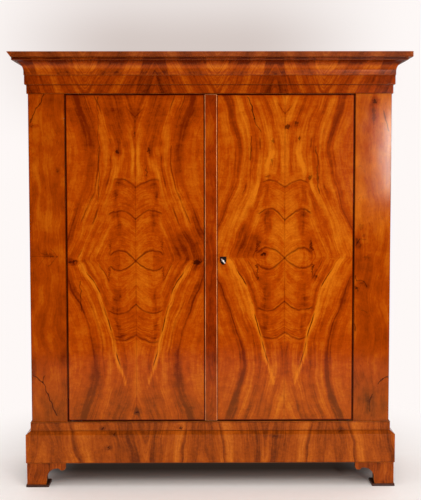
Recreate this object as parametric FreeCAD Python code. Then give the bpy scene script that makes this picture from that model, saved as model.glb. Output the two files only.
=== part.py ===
import FreeCAD, Part
import math
import os
from collections import namedtuple

# A two-door wardrobe cupboard in figured veneer, with a cove cornice, a plinth on bracket feet,
# flush leaves on pivots, a closing strip, a lock with its key, and two bolts behind the left leaf.
# Millimetres, +Z up, front towards -Y, origin on the floor under the middle of the overall box.

Vector = FreeCAD.Vector
Arc = namedtuple("Arc", "through to")

# Carcass
body_width = 1620.0
body_depth = 520.0
opening_height = 1477.0
side_thickness = 22.0
pilaster_width = 163.0
pilaster_thickness = 28.0
pilaster_arris = 2.0
back_thickness = 14.0
back_board_gap = 0.6
back_board_count = 8

# Feet
pad_height = 11.0
pad_width = 104.0
pad_overhang = 5.0
pad_bevel = 4.0
foot_height = 110.0
foot_projection = 22.0
leg_width = 86.0
knee_width = 90.0
wing_length = 175.0
arch_radius = 45.0
arch_crown_depth = 26.0
cusp_run = 11.0
lobe_depth = 35.0
nose_depth = 16.0
block_width = 55.0
block_lap = 50.0

# Plinth and the cap moulding on it
plinth_projection = 26.0
plinth_thickness = 32.0
plinth_face_height = 129.0
plinth_slope_height = 15.0
plinth_back_thickness = 24.0
cap_height = 41.0
cap_projection = 6.0
cap_depth = 36.0
cap_ledge = 12.0
base_board_thickness = 22.0

# Cornice, from the door heads up
lower_fascia_height = 40.0
lower_fascia_projection = 5.5
upper_fascia_height = 41.0
upper_fascia_projection = 13.5
frieze_depth = 36.0
frieze_ledge = 14.0
frieze_ledge_height = 8.0
top_board_thickness = 20.0
cove_foot_height = 15.0
cove_foot_projection = 15.5
cove_rise = 47.0
cove_head_projection = 58.0
cove_fillet_height = 11.0
cove_fillet_projection = 61.0
slab_thickness = 24.0
slab_projection = 79.0
cornice_back_thickness = 20.0

# Shelves
shelf_count = 3
shelf_thickness = 24.0
shelf_setback = 60.0
shelf_end_gap = 0.5
cleat_width = 25.0
cleat_height = 30.0

# Leaves
door_setback = 1.5
hinge_gap = 4.0
meeting_gap = 2.0
door_top_gap = 4.0
door_bottom_gap = 5.0
core_thickness = 24.0
veneer_thickness = 1.2
stile_width = 100.0
rail_height = 110.0
panel_thickness = 14.0
panel_lap = 12.0
panel_clearance = 0.3
tenon_length = 55.0
tenon_thickness = 8.0
tenon_shoulder = 20.0
tenon_clearance = 0.2
strip_width = 54.5
strip_offset = 3.5
strip_projection = 9.0
strip_arris = 3.0
match_drop = 7.5
stop_from_jamb = 64.0
stop_length = 250.0
stop_width = 20.0
stop_height = 20.0
stop_clearance = 0.5

# Pivots
pivot_inset = 16.0
pivot_depth = 10.0
pivot_radius = 4.0
pivot_clearance = 0.06
pivot_reach = 10.0
socket_clearance = 0.5
socket_spare = 2.0
collar_radius = 7.0
collar_clearance = 0.3
strap_length = 60.0
strap_width = 14.0
strap_thickness = 3.0
strap_from_edge = 3.0
plate_length = 60.0
plate_width = 18.0
plate_thickness = 3.0
plate_lead = 17.0
near_screw = 18.0
far_screw = 35.0

# Screws
screw_head_radius = 4.0
screw_head_height = 2.5
screw_radius = 2.0
screw_length = 12.0
screw_slot_width = 0.8
screw_slot_depth = 0.8
screw_clearance = 0.1

# Lock, key and escutcheon
key_from_strip = 27.5
key_radius = 3.0
key_clearance = 0.08
key_tip_gap = 0.3
key_rest_turn = 40.0
bow_width = 27.0
bow_length = 24.0
bow_band = 5.0
bow_thickness = 4.5
bow_round = 1.2
bow_standoff = 10.0
key_collar_radius = 5.0
key_collar_length = 4.0
bit_reach = 12.0
bit_thickness = 2.6
bit_length = 7.0
bit_from_wall = 1.5
keyhole_slack = 0.6
shield_width = 29.0
shield_height = 38.0
shield_shoulder = 15.0
shield_projection = 0.8
shield_fit = 0.1
shield_bulge_share = 0.76
shield_drop_share = 0.56
case_length = 116.0
case_height = 90.0
case_depth = 13.5
case_wall = 1.5
lock_plate_thickness = 2.0
lock_plate_margin = 14.0
lock_screw_inset = 14.0
bolt_rise = 14.0
bolt_height = 20.0
bolt_thickness = 8.0
bolt_length = 94.0
bolt_setback = 0.3
bolt_clearance = 0.15
strike_thickness = 1.5
strike_width = 16.0
strike_margin = 18.0
strike_clearance = 0.8
strike_depth = 13.0

# Bolts behind the left leaf
bar_from_edge = 40.0
bar_width = 14.0
bar_thickness = 5.0
bar_length = 150.0
bar_standoff = 0.3
bar_tip_setback = 1.0
knob_radius = 5.0
knob_length = 10.0
guide_inset = 25.0
guide_height = 12.0
guide_wall = 2.0
guide_clearance = 0.2
keeper_clearance = 0.6
keeper_depth = 8.0

# How far cutting tools run past the faces that they cut
overrun = 5.0

# Levels, from the floor up
half_width = body_width / 2
z_plinth = foot_height
z_slope = z_plinth + plinth_face_height
z_cap = z_slope + plinth_slope_height
z_floor = z_cap + cap_height
z_head = z_floor + opening_height
z_step = z_head + lower_fascia_height
z_cove = z_step + upper_fascia_height
z_spring = z_cove + cove_foot_height
z_fillet = z_spring + cove_rise
z_slab = z_fillet + cove_fillet_height
z_top = z_slab + slab_thickness
z_door_low = z_floor + door_bottom_gap
z_door_high = z_head - door_top_gap
z_match = (z_floor + z_head) / 2 - match_drop

# Depths, from the front back
y_back = (body_depth + slab_projection) / 2
y_front = y_back - body_depth
y_face = y_front + door_setback
y_core = y_face + veneer_thickness
y_core_back = y_core + core_thickness
y_axis = y_face + pivot_depth
y_boards = y_back - back_thickness
y_shelf = y_front + shelf_setback

# Widths, from the middle out
strip_half = strip_width / 2
strip_low = strip_offset - strip_half
strip_high = strip_offset + strip_half
jamb = half_width - pilaster_width
side_inner = half_width - side_thickness
hinge_edge = jamb - hinge_gap
pivot_x = hinge_edge - pivot_inset
left_meeting_edge = strip_low - meeting_gap
right_meeting_edge = strip_low
key_x = strip_high + key_from_strip
cornice_inner = frieze_depth - frieze_ledge
board_inset = cap_depth - cap_ledge
plinth_inner = plinth_thickness - plinth_projection
foot_thickness = foot_projection + plinth_inner
foot_outer = half_width + foot_projection
mitre_reach = slab_projection + frieze_depth + cap_depth

nodes = {}


def add(name, *shapes):
    """Store the solids of one node."""
    nodes[name] = [solid for shape in shapes for solid in shape.Solids]


def box(x, y, z):
    """Box between pairs of coordinates, in either order."""
    low = Vector(min(x), min(y), min(z))
    return Part.makeBox(abs(x[1] - x[0]), abs(y[1] - y[0]), abs(z[1] - z[0]), low)


def about(middle, size, grow=0):
    """Pair of coordinates around a middle, grown at both ends."""
    return (middle - size / 2 - grow, middle + size / 2 + grow)


def mirrored(shape):
    """The same shape on the other side of the middle plane."""
    return shape.mirror(Vector(0, 0, 0), Vector(1, 0, 0))


def outline(start, steps, place):
    """Closed wire from a start point through points and arcs, put into space by place."""
    edges = []
    here = start
    for step in list(steps) + [start]:
        if isinstance(step, Arc):
            curve = Part.Arc(place(*here), place(*step.through), place(*step.to))
            edges.append(curve.toShape())
            here = step.to
        else:
            edges.append(Part.LineSegment(place(*here), place(*step)).toShape())
            here = step
    return Part.Wire(edges)


def prism(points):
    """Upright prism over plan points, through the whole height."""
    corners = [Vector(x, y, 0) for x, y in points]
    face = Part.Face(Part.makePolygon(corners + corners[:1]))
    return face.extrude(Vector(0, 0, z_top))


def front_mitre():
    """Room of the front runs, between the two corner planes."""
    return prism([
        (-half_width - mitre_reach, y_front - mitre_reach),
        (half_width + mitre_reach, y_front - mitre_reach),
        (half_width - mitre_reach, y_front + mitre_reach),
        (-half_width + mitre_reach, y_front + mitre_reach),
    ])


def left_mitre():
    """Room of the left returns, behind the left corner plane."""
    return prism([
        (-half_width - mitre_reach, y_front - mitre_reach),
        (-half_width + mitre_reach, y_front + mitre_reach),
        (-half_width + mitre_reach, y_back),
        (-half_width - mitre_reach, y_back),
    ])


def front_run(start, steps):
    """Section of projection and height carried along the front and mitred at both ends."""
    reach = half_width + mitre_reach
    wire = outline(start, steps, lambda out, z: Vector(-reach, y_front - out, z))
    return Part.Face(wire).extrude(Vector(2 * reach, 0, 0)).common(front_mitre())


def left_run(start, steps):
    """The same section carried along the left side, from the corner to the back."""
    y_start = y_front - mitre_reach
    wire = outline(start, steps, lambda out, z: Vector(-half_width - out, y_start, z))
    return Part.Face(wire).extrude(Vector(0, y_back - y_start, 0)).common(left_mitre())


def driven(shape, at, way):
    """A shape made along -Z from the origin, set at a point and turned along a direction."""
    shape.Placement = FreeCAD.Placement(at, FreeCAD.Rotation(Vector(0, 0, -1), way))
    return shape


def screw_body(grow=0):
    """Countersunk screw along -Z without its slot, grown for the hole that takes it."""
    down = Vector(0, 0, -1)
    head = Part.makeCone(
        screw_head_radius + grow, screw_radius + grow, screw_head_height, Vector(0, 0, 0), down)
    shank = Part.makeCylinder(
        screw_radius + grow, screw_length + grow, Vector(0, 0, 0), down)
    return head.fuse(shank).removeSplitter()


def screw(at, way):
    """Slotted countersunk screw driven from a point along a direction."""
    slot = box(
        about(0, 2 * screw_head_radius, overrun),
        about(0, screw_slot_width),
        (-screw_slot_depth, overrun))
    return driven(screw_body().cut(slot), at, way)


def screw_hole(at, way):
    """Hole for that screw."""
    return driven(screw_body(screw_clearance), at, way)


def cut_all(shape, tools):
    """Shape with each tool taken away in turn."""
    for tool in tools:
        shape = shape.cut(tool)
    return shape


# Pivots, their plates in the carcass and the screws of both.
# Left pieces are made here, and the right ones are their mirror images.
def strap(z_edge, up):
    """Strap let into a leaf's edge, with its pin and, at the foot, the collar that carries it."""
    x_strap = -hinge_edge + strap_from_edge
    x = (x_strap, x_strap + strap_length)
    y = about(y_axis, strap_width)
    z_inner = z_edge - up * strap_thickness
    plate = box(x, y, (z_edge, z_inner))
    opening = z_head if up > 0 else z_floor
    length = abs(opening - z_inner) + pivot_reach
    pin = Part.makeCylinder(
        pivot_radius, length, Vector(-pivot_x, y_axis, z_inner), Vector(0, 0, up))
    shape = plate.fuse(pin)
    if up < 0:
        collar = Part.makeCylinder(
            collar_radius, door_bottom_gap - collar_clearance,
            Vector(-pivot_x, y_axis, z_edge), Vector(0, 0, up))
        shape = shape.fuse(collar)
    return shape.removeSplitter(), box(x, y, (z_edge, z_inner))


def pivot_plate(z_opening, up):
    """Plate let into the carcass around the pin, and the pocket and socket cut for it."""
    x = (-pivot_x - plate_lead, -pivot_x - plate_lead + plate_length)
    y = about(y_axis, plate_width)
    z = (z_opening, z_opening + up * plate_thickness)
    pocket = box(x, y, z)
    bore = Part.makeCylinder(
        pivot_radius + pivot_clearance, plate_thickness + overrun,
        Vector(-pivot_x, y_axis, z_opening - up * overrun / 2), Vector(0, 0, up))
    socket = Part.makeCylinder(
        pivot_radius + socket_clearance, pivot_reach + socket_spare,
        Vector(-pivot_x, y_axis, z_opening), Vector(0, 0, up))
    return pocket.cut(bore), [pocket, socket]


def pivot_screw_points(z):
    """Where the two screws of a strap or plate go, beside the pin."""
    return [Vector(-pivot_x + run, y_axis, z) for run in (near_screw, far_screw)]


plates = []
plate_cuts = {}
carcass_screws = []
straps = []
strap_pockets = []
strap_screws = []
strap_holes = []
for z_opening, z_edge, up in ((z_head, z_door_high, 1), (z_floor, z_door_low, -1)):
    plate, cuts = pivot_plate(z_opening, up)
    into_carcass = Vector(0, 0, up)
    into_leaf = Vector(0, 0, -up)
    holes = [screw_hole(point, into_carcass) for point in pivot_screw_points(z_opening)]
    plates.append(cut_all(plate, holes))
    plate_cuts[up] = cuts + holes
    carcass_screws += [screw(point, into_carcass) for point in pivot_screw_points(z_opening)]
    fitting, pocket = strap(z_edge, up)
    holes = [screw_hole(point, into_leaf) for point in pivot_screw_points(z_edge)]
    straps.append(cut_all(fitting, holes))
    strap_pockets.append(pocket)
    strap_screws += [screw(point, into_leaf) for point in pivot_screw_points(z_edge)]
    strap_holes += holes
both_sides = plates + [mirrored(plate) for plate in plates]
add("pivot_plates", *both_sides)
add("carcass_screws", *carcass_screws, *[mirrored(item) for item in carcass_screws])
add("left_door_pivots", *straps)
add("right_door_pivots", *[mirrored(item) for item in straps])

# Bolts behind the left leaf, with their guides and the slots that they enter
bar_x = left_meeting_edge - bar_from_edge
bar_y = (y_core_back + bar_standoff, y_core_back + bar_standoff + bar_thickness)
bar_slot_x = about(bar_x, bar_width, keeper_clearance)
bar_slot_y = (bar_y[0] - keeper_clearance, bar_y[1] + keeper_clearance)


def slide_bolt(z_tip, up):
    """Flat bar with a knob, and the two guides that hold it to the leaf."""
    z_tail = z_tip - up * bar_length
    z_middle = (z_tip + z_tail) / 2
    bar = box(about(bar_x, bar_width), bar_y, (z_tip, z_tail))
    knob = Part.makeCylinder(
        knob_radius, knob_length, Vector(bar_x, bar_y[1], z_middle), Vector(0, 1, 0))
    y_channel = bar_y[1] + guide_clearance
    guides = []
    for z in (z_tip - up * guide_inset, z_tail + up * guide_inset):
        body = box(
            about(bar_x, bar_width, guide_clearance + guide_wall),
            (y_core_back, y_channel + guide_wall),
            about(z, guide_height))
        channel = box(
            about(bar_x, bar_width, guide_clearance),
            (y_core_back - overrun, y_channel),
            about(z, guide_height, overrun))
        guides.append(body.cut(channel))
    return bar.fuse(knob), guides


upper_bolt, upper_guides = slide_bolt(z_door_high - bar_tip_setback, 1)
lower_bolt, lower_guides = slide_bolt(z_door_low + bar_tip_setback, -1)
add("upper_bolt", upper_bolt)
add("lower_bolt", lower_bolt)
add("bolt_guides", *upper_guides, *lower_guides)
upper_keeper = box(bar_slot_x, bar_slot_y, (z_head - overrun, z_head + frieze_ledge_height))
lower_keeper = box(bar_slot_x, bar_slot_y, (z_floor - keeper_depth, z_floor + overrun))

# Cornice
frieze_start = (lower_fascia_projection, z_head)
frieze_steps = [
    (lower_fascia_projection, z_step),
    (upper_fascia_projection, z_step),
    (upper_fascia_projection, z_cove),
    (-cornice_inner, z_cove),
    (-cornice_inner, z_head + frieze_ledge_height),
    (-frieze_depth, z_head + frieze_ledge_height),
    (-frieze_depth, z_head),
]
frieze_cuts = plate_cuts[1] + [mirrored(tool) for tool in plate_cuts[1]] + [upper_keeper]
add("frieze_front", cut_all(front_run(frieze_start, frieze_steps), frieze_cuts))
frieze_left = left_run(frieze_start, frieze_steps)
add("frieze_left", frieze_left)
add("frieze_right", mirrored(frieze_left))

cove_span = cove_head_projection - cove_foot_projection
diagonal_share = math.sqrt(2) / 2
cove_middle = (
    cove_head_projection - cove_span * diagonal_share,
    z_spring + cove_rise * diagonal_share)
cove_start = (-cornice_inner, z_cove)
cove_steps = [
    (cove_foot_projection, z_cove),
    (cove_foot_projection, z_spring),
    Arc(cove_middle, (cove_head_projection, z_fillet)),
    (cove_fillet_projection, z_fillet),
    (cove_fillet_projection, z_slab),
    (-cornice_inner, z_slab),
]
add("cove_front", front_run(cove_start, cove_steps))
cove_left = left_run(cove_start, cove_steps)
add("cove_left", cove_left)
add("cove_right", mirrored(cove_left))

slab_half = half_width + slab_projection
slab_wire = outline(
    (-slab_half, z_top),
    [
        (slab_half, z_top),
        (slab_half, z_slab),
        (-half_width - cove_fillet_projection, z_slab),
    ],
    lambda x, z: Vector(x, y_front - slab_projection, z))
slab_depth = body_depth + slab_projection
add("cornice_slab", Part.Face(slab_wire).extrude(Vector(0, slab_depth, 0)))

board_half = half_width - cornice_inner
z_board = z_head + frieze_ledge_height
z_board_top = z_board + top_board_thickness
y_rail = y_back - cornice_back_thickness
add("top_board", box(
    (-board_half, board_half), (y_front + cornice_inner, y_rail), (z_board, z_board_top)))

# The back of the cornice is notched around the ledges and closes the top of the back boards
ledge_half = half_width - frieze_depth
back_rail = box((-board_half, board_half), (y_rail, y_back), (z_board, z_slab))
rail_tongue = box((-ledge_half, ledge_half), (y_rail, y_back), (z_head, z_board))
add("cornice_back_rail", back_rail.fuse(rail_tongue).removeSplitter())

# Plinth, cap moulding and base board
cap_start = (cap_projection, z_cap)
cap_steps = [
    (cap_projection, z_floor),
    (-board_inset, z_floor),
    (-board_inset, z_floor - base_board_thickness),
    (-cap_depth, z_floor - base_board_thickness),
    (-cap_depth, z_cap),
]
cap_cuts = plate_cuts[-1] + [mirrored(tool) for tool in plate_cuts[-1]]
add("base_cap_front", cut_all(front_run(cap_start, cap_steps), cap_cuts))
cap_left = left_run(cap_start, cap_steps)
add("base_cap_left", cap_left)
add("base_cap_right", mirrored(cap_left))

base_half = half_width - board_inset
z_base = z_floor - base_board_thickness
add("base_board", box(
    (-base_half, base_half), (y_front + board_inset, y_back), (z_base, z_floor)
).cut(lower_keeper))

plinth_start = (-plinth_inner, z_plinth)
plinth_steps = [
    (plinth_projection, z_plinth),
    (plinth_projection, z_slope),
    (cap_projection, z_cap),
    (-plinth_inner, z_cap),
]
add("plinth_front", front_run(plinth_start, plinth_steps))
plinth_left = left_run(plinth_start, plinth_steps)
add("plinth_left", plinth_left)
add("plinth_right", mirrored(plinth_left))

# The back of the plinth is notched around the cap and carries the base board's rear edge
back_half = half_width - plinth_inner
notch_half = half_width - cap_depth
back_y = (y_back - plinth_back_thickness, y_back)
plinth_back = box((-back_half, back_half), back_y, (z_plinth, z_cap))
plinth_tongue = box((-notch_half, notch_half), back_y, (z_cap, z_base))
add("plinth_back", plinth_back.fuse(plinth_tongue).removeSplitter())

# Feet
arch_out = knee_width + arch_radius
arch_down = arch_crown_depth + arch_radius
cusp_out = arch_out + cusp_run
cusp_down = arch_down - math.sqrt(arch_radius ** 2 - cusp_run ** 2)
bracket_height = foot_height - pad_height
bracket_steps = [
    (wing_length, 0),
    (wing_length, nose_depth),
    Arc(((cusp_out + wing_length) / 2, lobe_depth), (cusp_out, cusp_down)),
    Arc(
        (arch_out - arch_radius * diagonal_share, arch_down - arch_radius * diagonal_share),
        (knee_width, arch_down)),
    (leg_width, bracket_height),
    (0, bracket_height),
]


def bracket(place, depth):
    """Bracket board from its outline of run and drop, as deep as a vector."""
    return Part.Face(outline((0, 0), bracket_steps, place)).extrude(depth)


y_foot = y_front - foot_projection
front_bracket = bracket(
    lambda run, drop: Vector(-foot_outer + run, y_foot, z_plinth - drop),
    Vector(0, foot_thickness, 0)).common(front_mitre())
side_bracket = bracket(
    lambda run, drop: Vector(-foot_outer, y_foot + run, z_plinth - drop),
    Vector(foot_thickness, 0, 0)).common(left_mitre())
rear_bracket = bracket(
    lambda run, drop: Vector(-foot_outer, y_back - run, z_plinth - drop),
    Vector(foot_thickness, 0, 0))
rear_board = box((-back_half, -foot_outer + leg_width), back_y, (pad_height, z_plinth))
add("front_left_foot", front_bracket, side_bracket)
add("front_right_foot", mirrored(front_bracket), mirrored(side_bracket))
add("rear_left_foot", rear_bracket, rear_board)
add("rear_right_foot", mirrored(rear_bracket), mirrored(rear_board))

block_x = (-back_half, -back_half + block_width)
block_z = (pad_height, z_plinth + block_lap)
y_block = y_front + plinth_inner
blocks = [
    box(block_x, (y_block, y_block + block_width), block_z),
    box(block_x, (back_y[0] - block_width, back_y[0]), block_z),
]
add("foot_blocks", *blocks, *[mirrored(block) for block in blocks])


def pad(y):
    """Foot pad with its upper edges bevelled."""
    x_pad = -foot_outer - pad_overhang
    shape = box((x_pad, x_pad + pad_width), y, (0, pad_height))
    top = max(shape.Faces, key=lambda face: face.CenterOfMass.z)
    return shape.makeChamfer(pad_bevel, top.Edges)


y_pad = y_foot - pad_overhang
pads = [pad((y_pad, y_pad + pad_width)), pad((y_back - pad_width, y_back))]
add("foot_pads", *pads, *[mirrored(item) for item in pads])

# Carcass sides, pilasters and back
side_panel = box((-half_width, -side_inner), (y_front + pilaster_thickness, y_back), (z_floor, z_head))
add("left_side_panel", side_panel)
add("right_side_panel", mirrored(side_panel))

pilaster = box((-half_width, -jamb), (y_front, y_front + pilaster_thickness), (z_floor, z_head))
front_face = min(pilaster.Faces, key=lambda face: face.CenterOfMass.y)
front_arrises = [
    edge for edge in front_face.Edges if abs(edge.CenterOfMass.z - (z_floor + z_head) / 2) < overrun]
pilaster = pilaster.makeFillet(pilaster_arris, front_arrises)
add("left_pilaster", pilaster)
add("right_pilaster", mirrored(pilaster))

back_pitch = 2 * side_inner / back_board_count
back_board_starts = [-side_inner + back_pitch * index for index in range(back_board_count)]
back_board_width = back_pitch - back_board_gap
add("back_boards", *[
    box((start, start + back_board_width), (y_boards, y_back), (z_floor, z_head))
    for start in back_board_starts])

# Shelves on cleats
shelf_half = side_inner - shelf_end_gap
shelf_y = (y_shelf, y_boards - shelf_end_gap)
shelf_pitch = opening_height / (shelf_count + 1)
cleats = []
for index, name in enumerate(("lower_shelf", "middle_shelf", "upper_shelf")):
    z_shelf = z_floor + shelf_pitch * (index + 1)
    z_under = z_shelf - shelf_thickness
    add(name, box((-shelf_half, shelf_half), shelf_y, (z_under, z_shelf)))
    cleat_z = (z_under - cleat_height, z_under)
    cleat_inner = side_inner - cleat_width
    side_cleat = box((-side_inner, -cleat_inner), (y_shelf, y_boards), cleat_z)
    back_cleat = box((-cleat_inner, cleat_inner), (y_boards - cleat_width, y_boards), cleat_z)
    cleats += [side_cleat, mirrored(side_cleat), back_cleat]
add("shelf_cleats", *cleats)

# Stops that the leaves close against
stop_x = (-jamb + stop_from_jamb, -jamb + stop_from_jamb + stop_length)
y_stop = y_core_back + stop_clearance
stops = [
    box(stop_x, (y_stop, y_stop + stop_width), (z_head - stop_height, z_head)),
    box(stop_x, (y_stop, y_stop + stop_width), (z_floor, z_floor + stop_height)),
]
add("door_stops", *stops, *[mirrored(stop) for stop in stops])

# Leaf frames
door_z = (z_door_low, z_door_high)
core_y = (y_core, y_core_back)
panel_y = (y_core, y_core + panel_thickness)
tenon_y = about((y_core + y_core_back) / 2, tenon_thickness)
z_low_rail = z_door_low + rail_height
z_high_rail = z_door_high - rail_height
rail_spans = [(z_door_low, z_low_rail), (z_high_rail, z_door_high)]
rebate_z = (z_low_rail - panel_lap, z_high_rail + panel_lap)


def stile(outer, inner):
    """Stile between its outer and inner edges, mortised for both rails and rebated for the panel."""
    out = math.copysign(1, outer - inner)
    shape = box((outer, inner), core_y, door_z)
    deep = inner + out * (tenon_length + tenon_clearance)
    for low, high in rail_spans:
        mortise = box(
            (inner - out * overrun, deep),
            (tenon_y[0] - tenon_clearance, tenon_y[1] + tenon_clearance),
            (low + tenon_shoulder - tenon_clearance, high - tenon_shoulder + tenon_clearance))
        shape = shape.cut(mortise)
    rebate_x = (inner - out * overrun, inner + out * panel_lap)
    return shape.cut(box(rebate_x, (y_core - overrun, panel_y[1]), rebate_z))


def rails(low_inner, high_inner):
    """Bottom and top rails between the stiles, with tenons at both ends."""
    pair = []
    for low, high in rail_spans:
        rail = box((low_inner, high_inner), core_y, (low, high))
        tenon = box(
            (low_inner - tenon_length, high_inner + tenon_length),
            tenon_y,
            (low + tenon_shoulder, high - tenon_shoulder))
        rebate = box((low_inner, high_inner), (y_core - overrun, panel_y[1]), rebate_z)
        pair.append(rail.cut(rebate).fuse(tenon).removeSplitter())
    return pair


def panel(low_inner, high_inner):
    """Flush panel lying in the rebates of its frame."""
    lap = panel_lap - panel_clearance
    return box(
        (low_inner - lap, high_inner + lap), panel_y, (z_low_rail - lap, z_high_rail + lap))


def veneer(low, high):
    """Four matched leaves over one field."""
    middle = (low + high) / 2
    return [
        box(x, (y_face, y_core), z)
        for x in ((low, middle), (middle, high))
        for z in ((z_door_low, z_match), (z_match, z_door_high))]


# Lock: the case let into the right meeting stile, its plate, the bolt and the keyhole
case_x = (right_meeting_edge, right_meeting_edge + case_length)
case_y = (y_core_back - case_depth, y_core_back)
case_z = about(z_match, case_height)
y_case_inner = case_y[0] + case_wall
bolt_y = about((y_case_inner + y_core_back) / 2, bolt_thickness)
bolt_z = (z_match + bolt_rise, z_match + bolt_rise + bolt_height)


def keyhole(radius_slack, y):
    """Keyhole through a depth: a round hole for the shank and a slot below it for the bit."""
    low, high = min(y), max(y)
    hole = Part.makeCylinder(
        key_radius + radius_slack, high - low, Vector(key_x, low, z_match), Vector(0, 1, 0))
    slot = box(
        about(key_x, bit_thickness, keyhole_slack),
        (low, high),
        (z_match - bit_reach - keyhole_slack, z_match))
    return hole.fuse(slot)


lock_case = box(case_x, case_y, case_z)
lock_pocket = lock_case.copy()
lock_case = lock_case.cut(box(
    (case_x[0] + case_wall, case_x[1] - case_wall),
    (y_case_inner, y_core_back + overrun),
    (case_z[0] + case_wall, case_z[1] - case_wall)))
bolt_port = box(
    (case_x[0] - overrun, case_x[0] + case_wall + bolt_clearance),
    (bolt_y[0] - bolt_clearance, bolt_y[1] + bolt_clearance),
    (bolt_z[0] - bolt_clearance, bolt_z[1] + bolt_clearance))
case_keyhole = keyhole(key_clearance, (case_y[0] - overrun, y_case_inner + overrun))
add("lock_case", lock_case.cut(bolt_port).cut(case_keyhole))
x_bolt = right_meeting_edge + bolt_setback
add("lock_bolt", box((x_bolt, x_bolt + bolt_length), bolt_y, bolt_z))

lock_plate = box(
    case_x,
    (y_core_back, y_core_back + lock_plate_thickness),
    (case_z[0] - lock_plate_margin, case_z[1] + lock_plate_margin))
lock_screw_points = [
    Vector(x, y_core_back + lock_plate_thickness, z)
    for x in (case_x[0] + lock_screw_inset, case_x[1] - lock_screw_inset)
    for z in (case_z[0] - lock_plate_margin / 2, case_z[1] + lock_plate_margin / 2)]
into_stile = Vector(0, -1, 0)
lock_screws = [screw(point, into_stile) for point in lock_screw_points]
lock_holes = [screw_hole(point, into_stile) for point in lock_screw_points]
add("lock_plate", cut_all(lock_plate, lock_holes))


def shield(grow, y):
    """Shield-shaped block, grown all round."""
    half = shield_width / 2 + grow
    top = z_match + shield_height / 2 + grow
    tip = z_match - shield_height / 2 - grow
    shoulder = z_match + shield_height / 2 - shield_shoulder
    bulge = half * shield_bulge_share
    bulge_z = shoulder - (shoulder - tip) * shield_drop_share
    wire = outline(
        (-half, top),
        [
            (half, top),
            (half, shoulder),
            Arc((bulge, bulge_z), (0, tip)),
            Arc((-bulge, bulge_z), (-half, shoulder)),
        ],
        lambda x, z: Vector(key_x + x, y[0], z))
    return Part.Face(wire).extrude(Vector(0, y[1] - y[0], 0))


y_shield = y_face - shield_projection
through_face = (y_shield - overrun, case_y[0] + overrun)
add("escutcheon", shield(0, (y_shield, y_core)).cut(keyhole(keyhole_slack, through_face)))

# Leaves
left_low = -hinge_edge + stile_width
left_high = left_meeting_edge - stile_width
left_holes = strap_pockets + strap_holes
add("left_door_hinge_stile", cut_all(stile(-hinge_edge, left_low), left_holes))

strike_y = about(sum(bolt_y) / 2, strike_width)
strike_z = (bolt_z[0] - strike_margin, bolt_z[1] + strike_margin)
strike_plate = box((left_meeting_edge - strike_thickness, left_meeting_edge), strike_y, strike_z)
strike_mortise = box(
    (left_meeting_edge - strike_depth, left_meeting_edge + overrun),
    (bolt_y[0] - strike_clearance, bolt_y[1] + strike_clearance),
    (bolt_z[0] - strike_clearance, bolt_z[1] + strike_clearance))
strike_screw_points = [
    Vector(left_meeting_edge, sum(bolt_y) / 2, z)
    for z in (strike_z[0] + strike_margin / 2, strike_z[1] - strike_margin / 2)]
into_edge = Vector(-1, 0, 0)
strike_screws = [screw(point, into_edge) for point in strike_screw_points]
strike_holes = [screw_hole(point, into_edge) for point in strike_screw_points]
add("strike_plate", cut_all(strike_plate.cut(strike_mortise), strike_holes))
add("left_door_meeting_stile", cut_all(
    stile(left_meeting_edge, left_high), [strike_plate, strike_mortise] + strike_holes))
add("left_door_rails", *rails(left_low, left_high))
add("left_door_panel", panel(left_low, left_high))
add("left_door_veneer", *veneer(-hinge_edge, left_meeting_edge))
add("left_door_screws", *strap_screws, *strike_screws)

right_low = strip_high + stile_width
right_high = hinge_edge - stile_width
right_holes = [mirrored(tool) for tool in left_holes]
add("right_door_hinge_stile", cut_all(stile(hinge_edge, right_high), right_holes))
add("right_door_meeting_stile", cut_all(
    stile(right_meeting_edge, right_low),
    [lock_pocket, keyhole(keyhole_slack, through_face)] + lock_holes))
add("right_door_rails", *rails(right_low, right_high))
add("right_door_panel", panel(right_low, right_high))
shield_cut = shield(shield_fit, (y_face - overrun, y_core + overrun))
add("right_door_veneer", *[leaf.cut(shield_cut) for leaf in veneer(strip_high, hinge_edge)])
add("right_door_screws", *[mirrored(item) for item in strap_screws], *lock_screws)

strip = box((strip_low, strip_high), (y_face - strip_projection, y_core), door_z)
strip_face = min(strip.Faces, key=lambda face: face.CenterOfMass.y)
strip_arrises = [
    edge for edge in strip_face.Edges if abs(edge.CenterOfMass.x - strip_offset) > strip_half - strip_arris]
add("closing_strip", strip.makeFillet(strip_arris, strip_arrises))

# Key, made with its bow upright and then turned to where it stands at rest
y_tip = y_core_back - key_tip_gap
y_bow = y_shield - bow_standoff
bow_middle = Vector(key_x, y_bow - bow_length / 2, z_match)


def bow_face(width, length):
    """Oval face of the bow, upright along the key's axis."""
    across = bow_middle + Vector(0, 0, width / 2)
    along = bow_middle + Vector(0, length / 2, 0)
    oval = Part.Ellipse(across, along, bow_middle)
    face = Part.Face(Part.Wire(oval.toShape()))
    face.translate(Vector(-bow_thickness / 2, 0, 0))
    return face


bow = bow_face(bow_width, bow_length).extrude(Vector(bow_thickness, 0, 0))
eye = bow_face(bow_width - 2 * bow_band, bow_length - 2 * bow_band)
bow = bow.cut(eye.extrude(Vector(bow_thickness, 0, 0)))
bow_rims = [edge for edge in bow.Edges if isinstance(edge.Curve, Part.Ellipse)]
bow = bow.makeFillet(bow_round, bow_rims)
y_shank = y_bow - bow_band / 2
shank = Part.makeCylinder(
    key_radius, y_tip - y_shank, Vector(key_x, y_shank, z_match), Vector(0, 1, 0))
collar = Part.makeCylinder(
    key_collar_radius, key_collar_length, Vector(key_x, y_bow, z_match), Vector(0, 1, 0))
y_bit = y_case_inner + bit_from_wall
bit = box(
    about(key_x, bit_thickness),
    (y_bit, y_bit + bit_length),
    (z_match - bit_reach, z_match))
key = shank.fuse([collar, bit, bow])
key.rotate(Vector(key_x, 0, z_match), Vector(0, -1, 0), key_rest_turn)
add("key", key)

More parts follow.
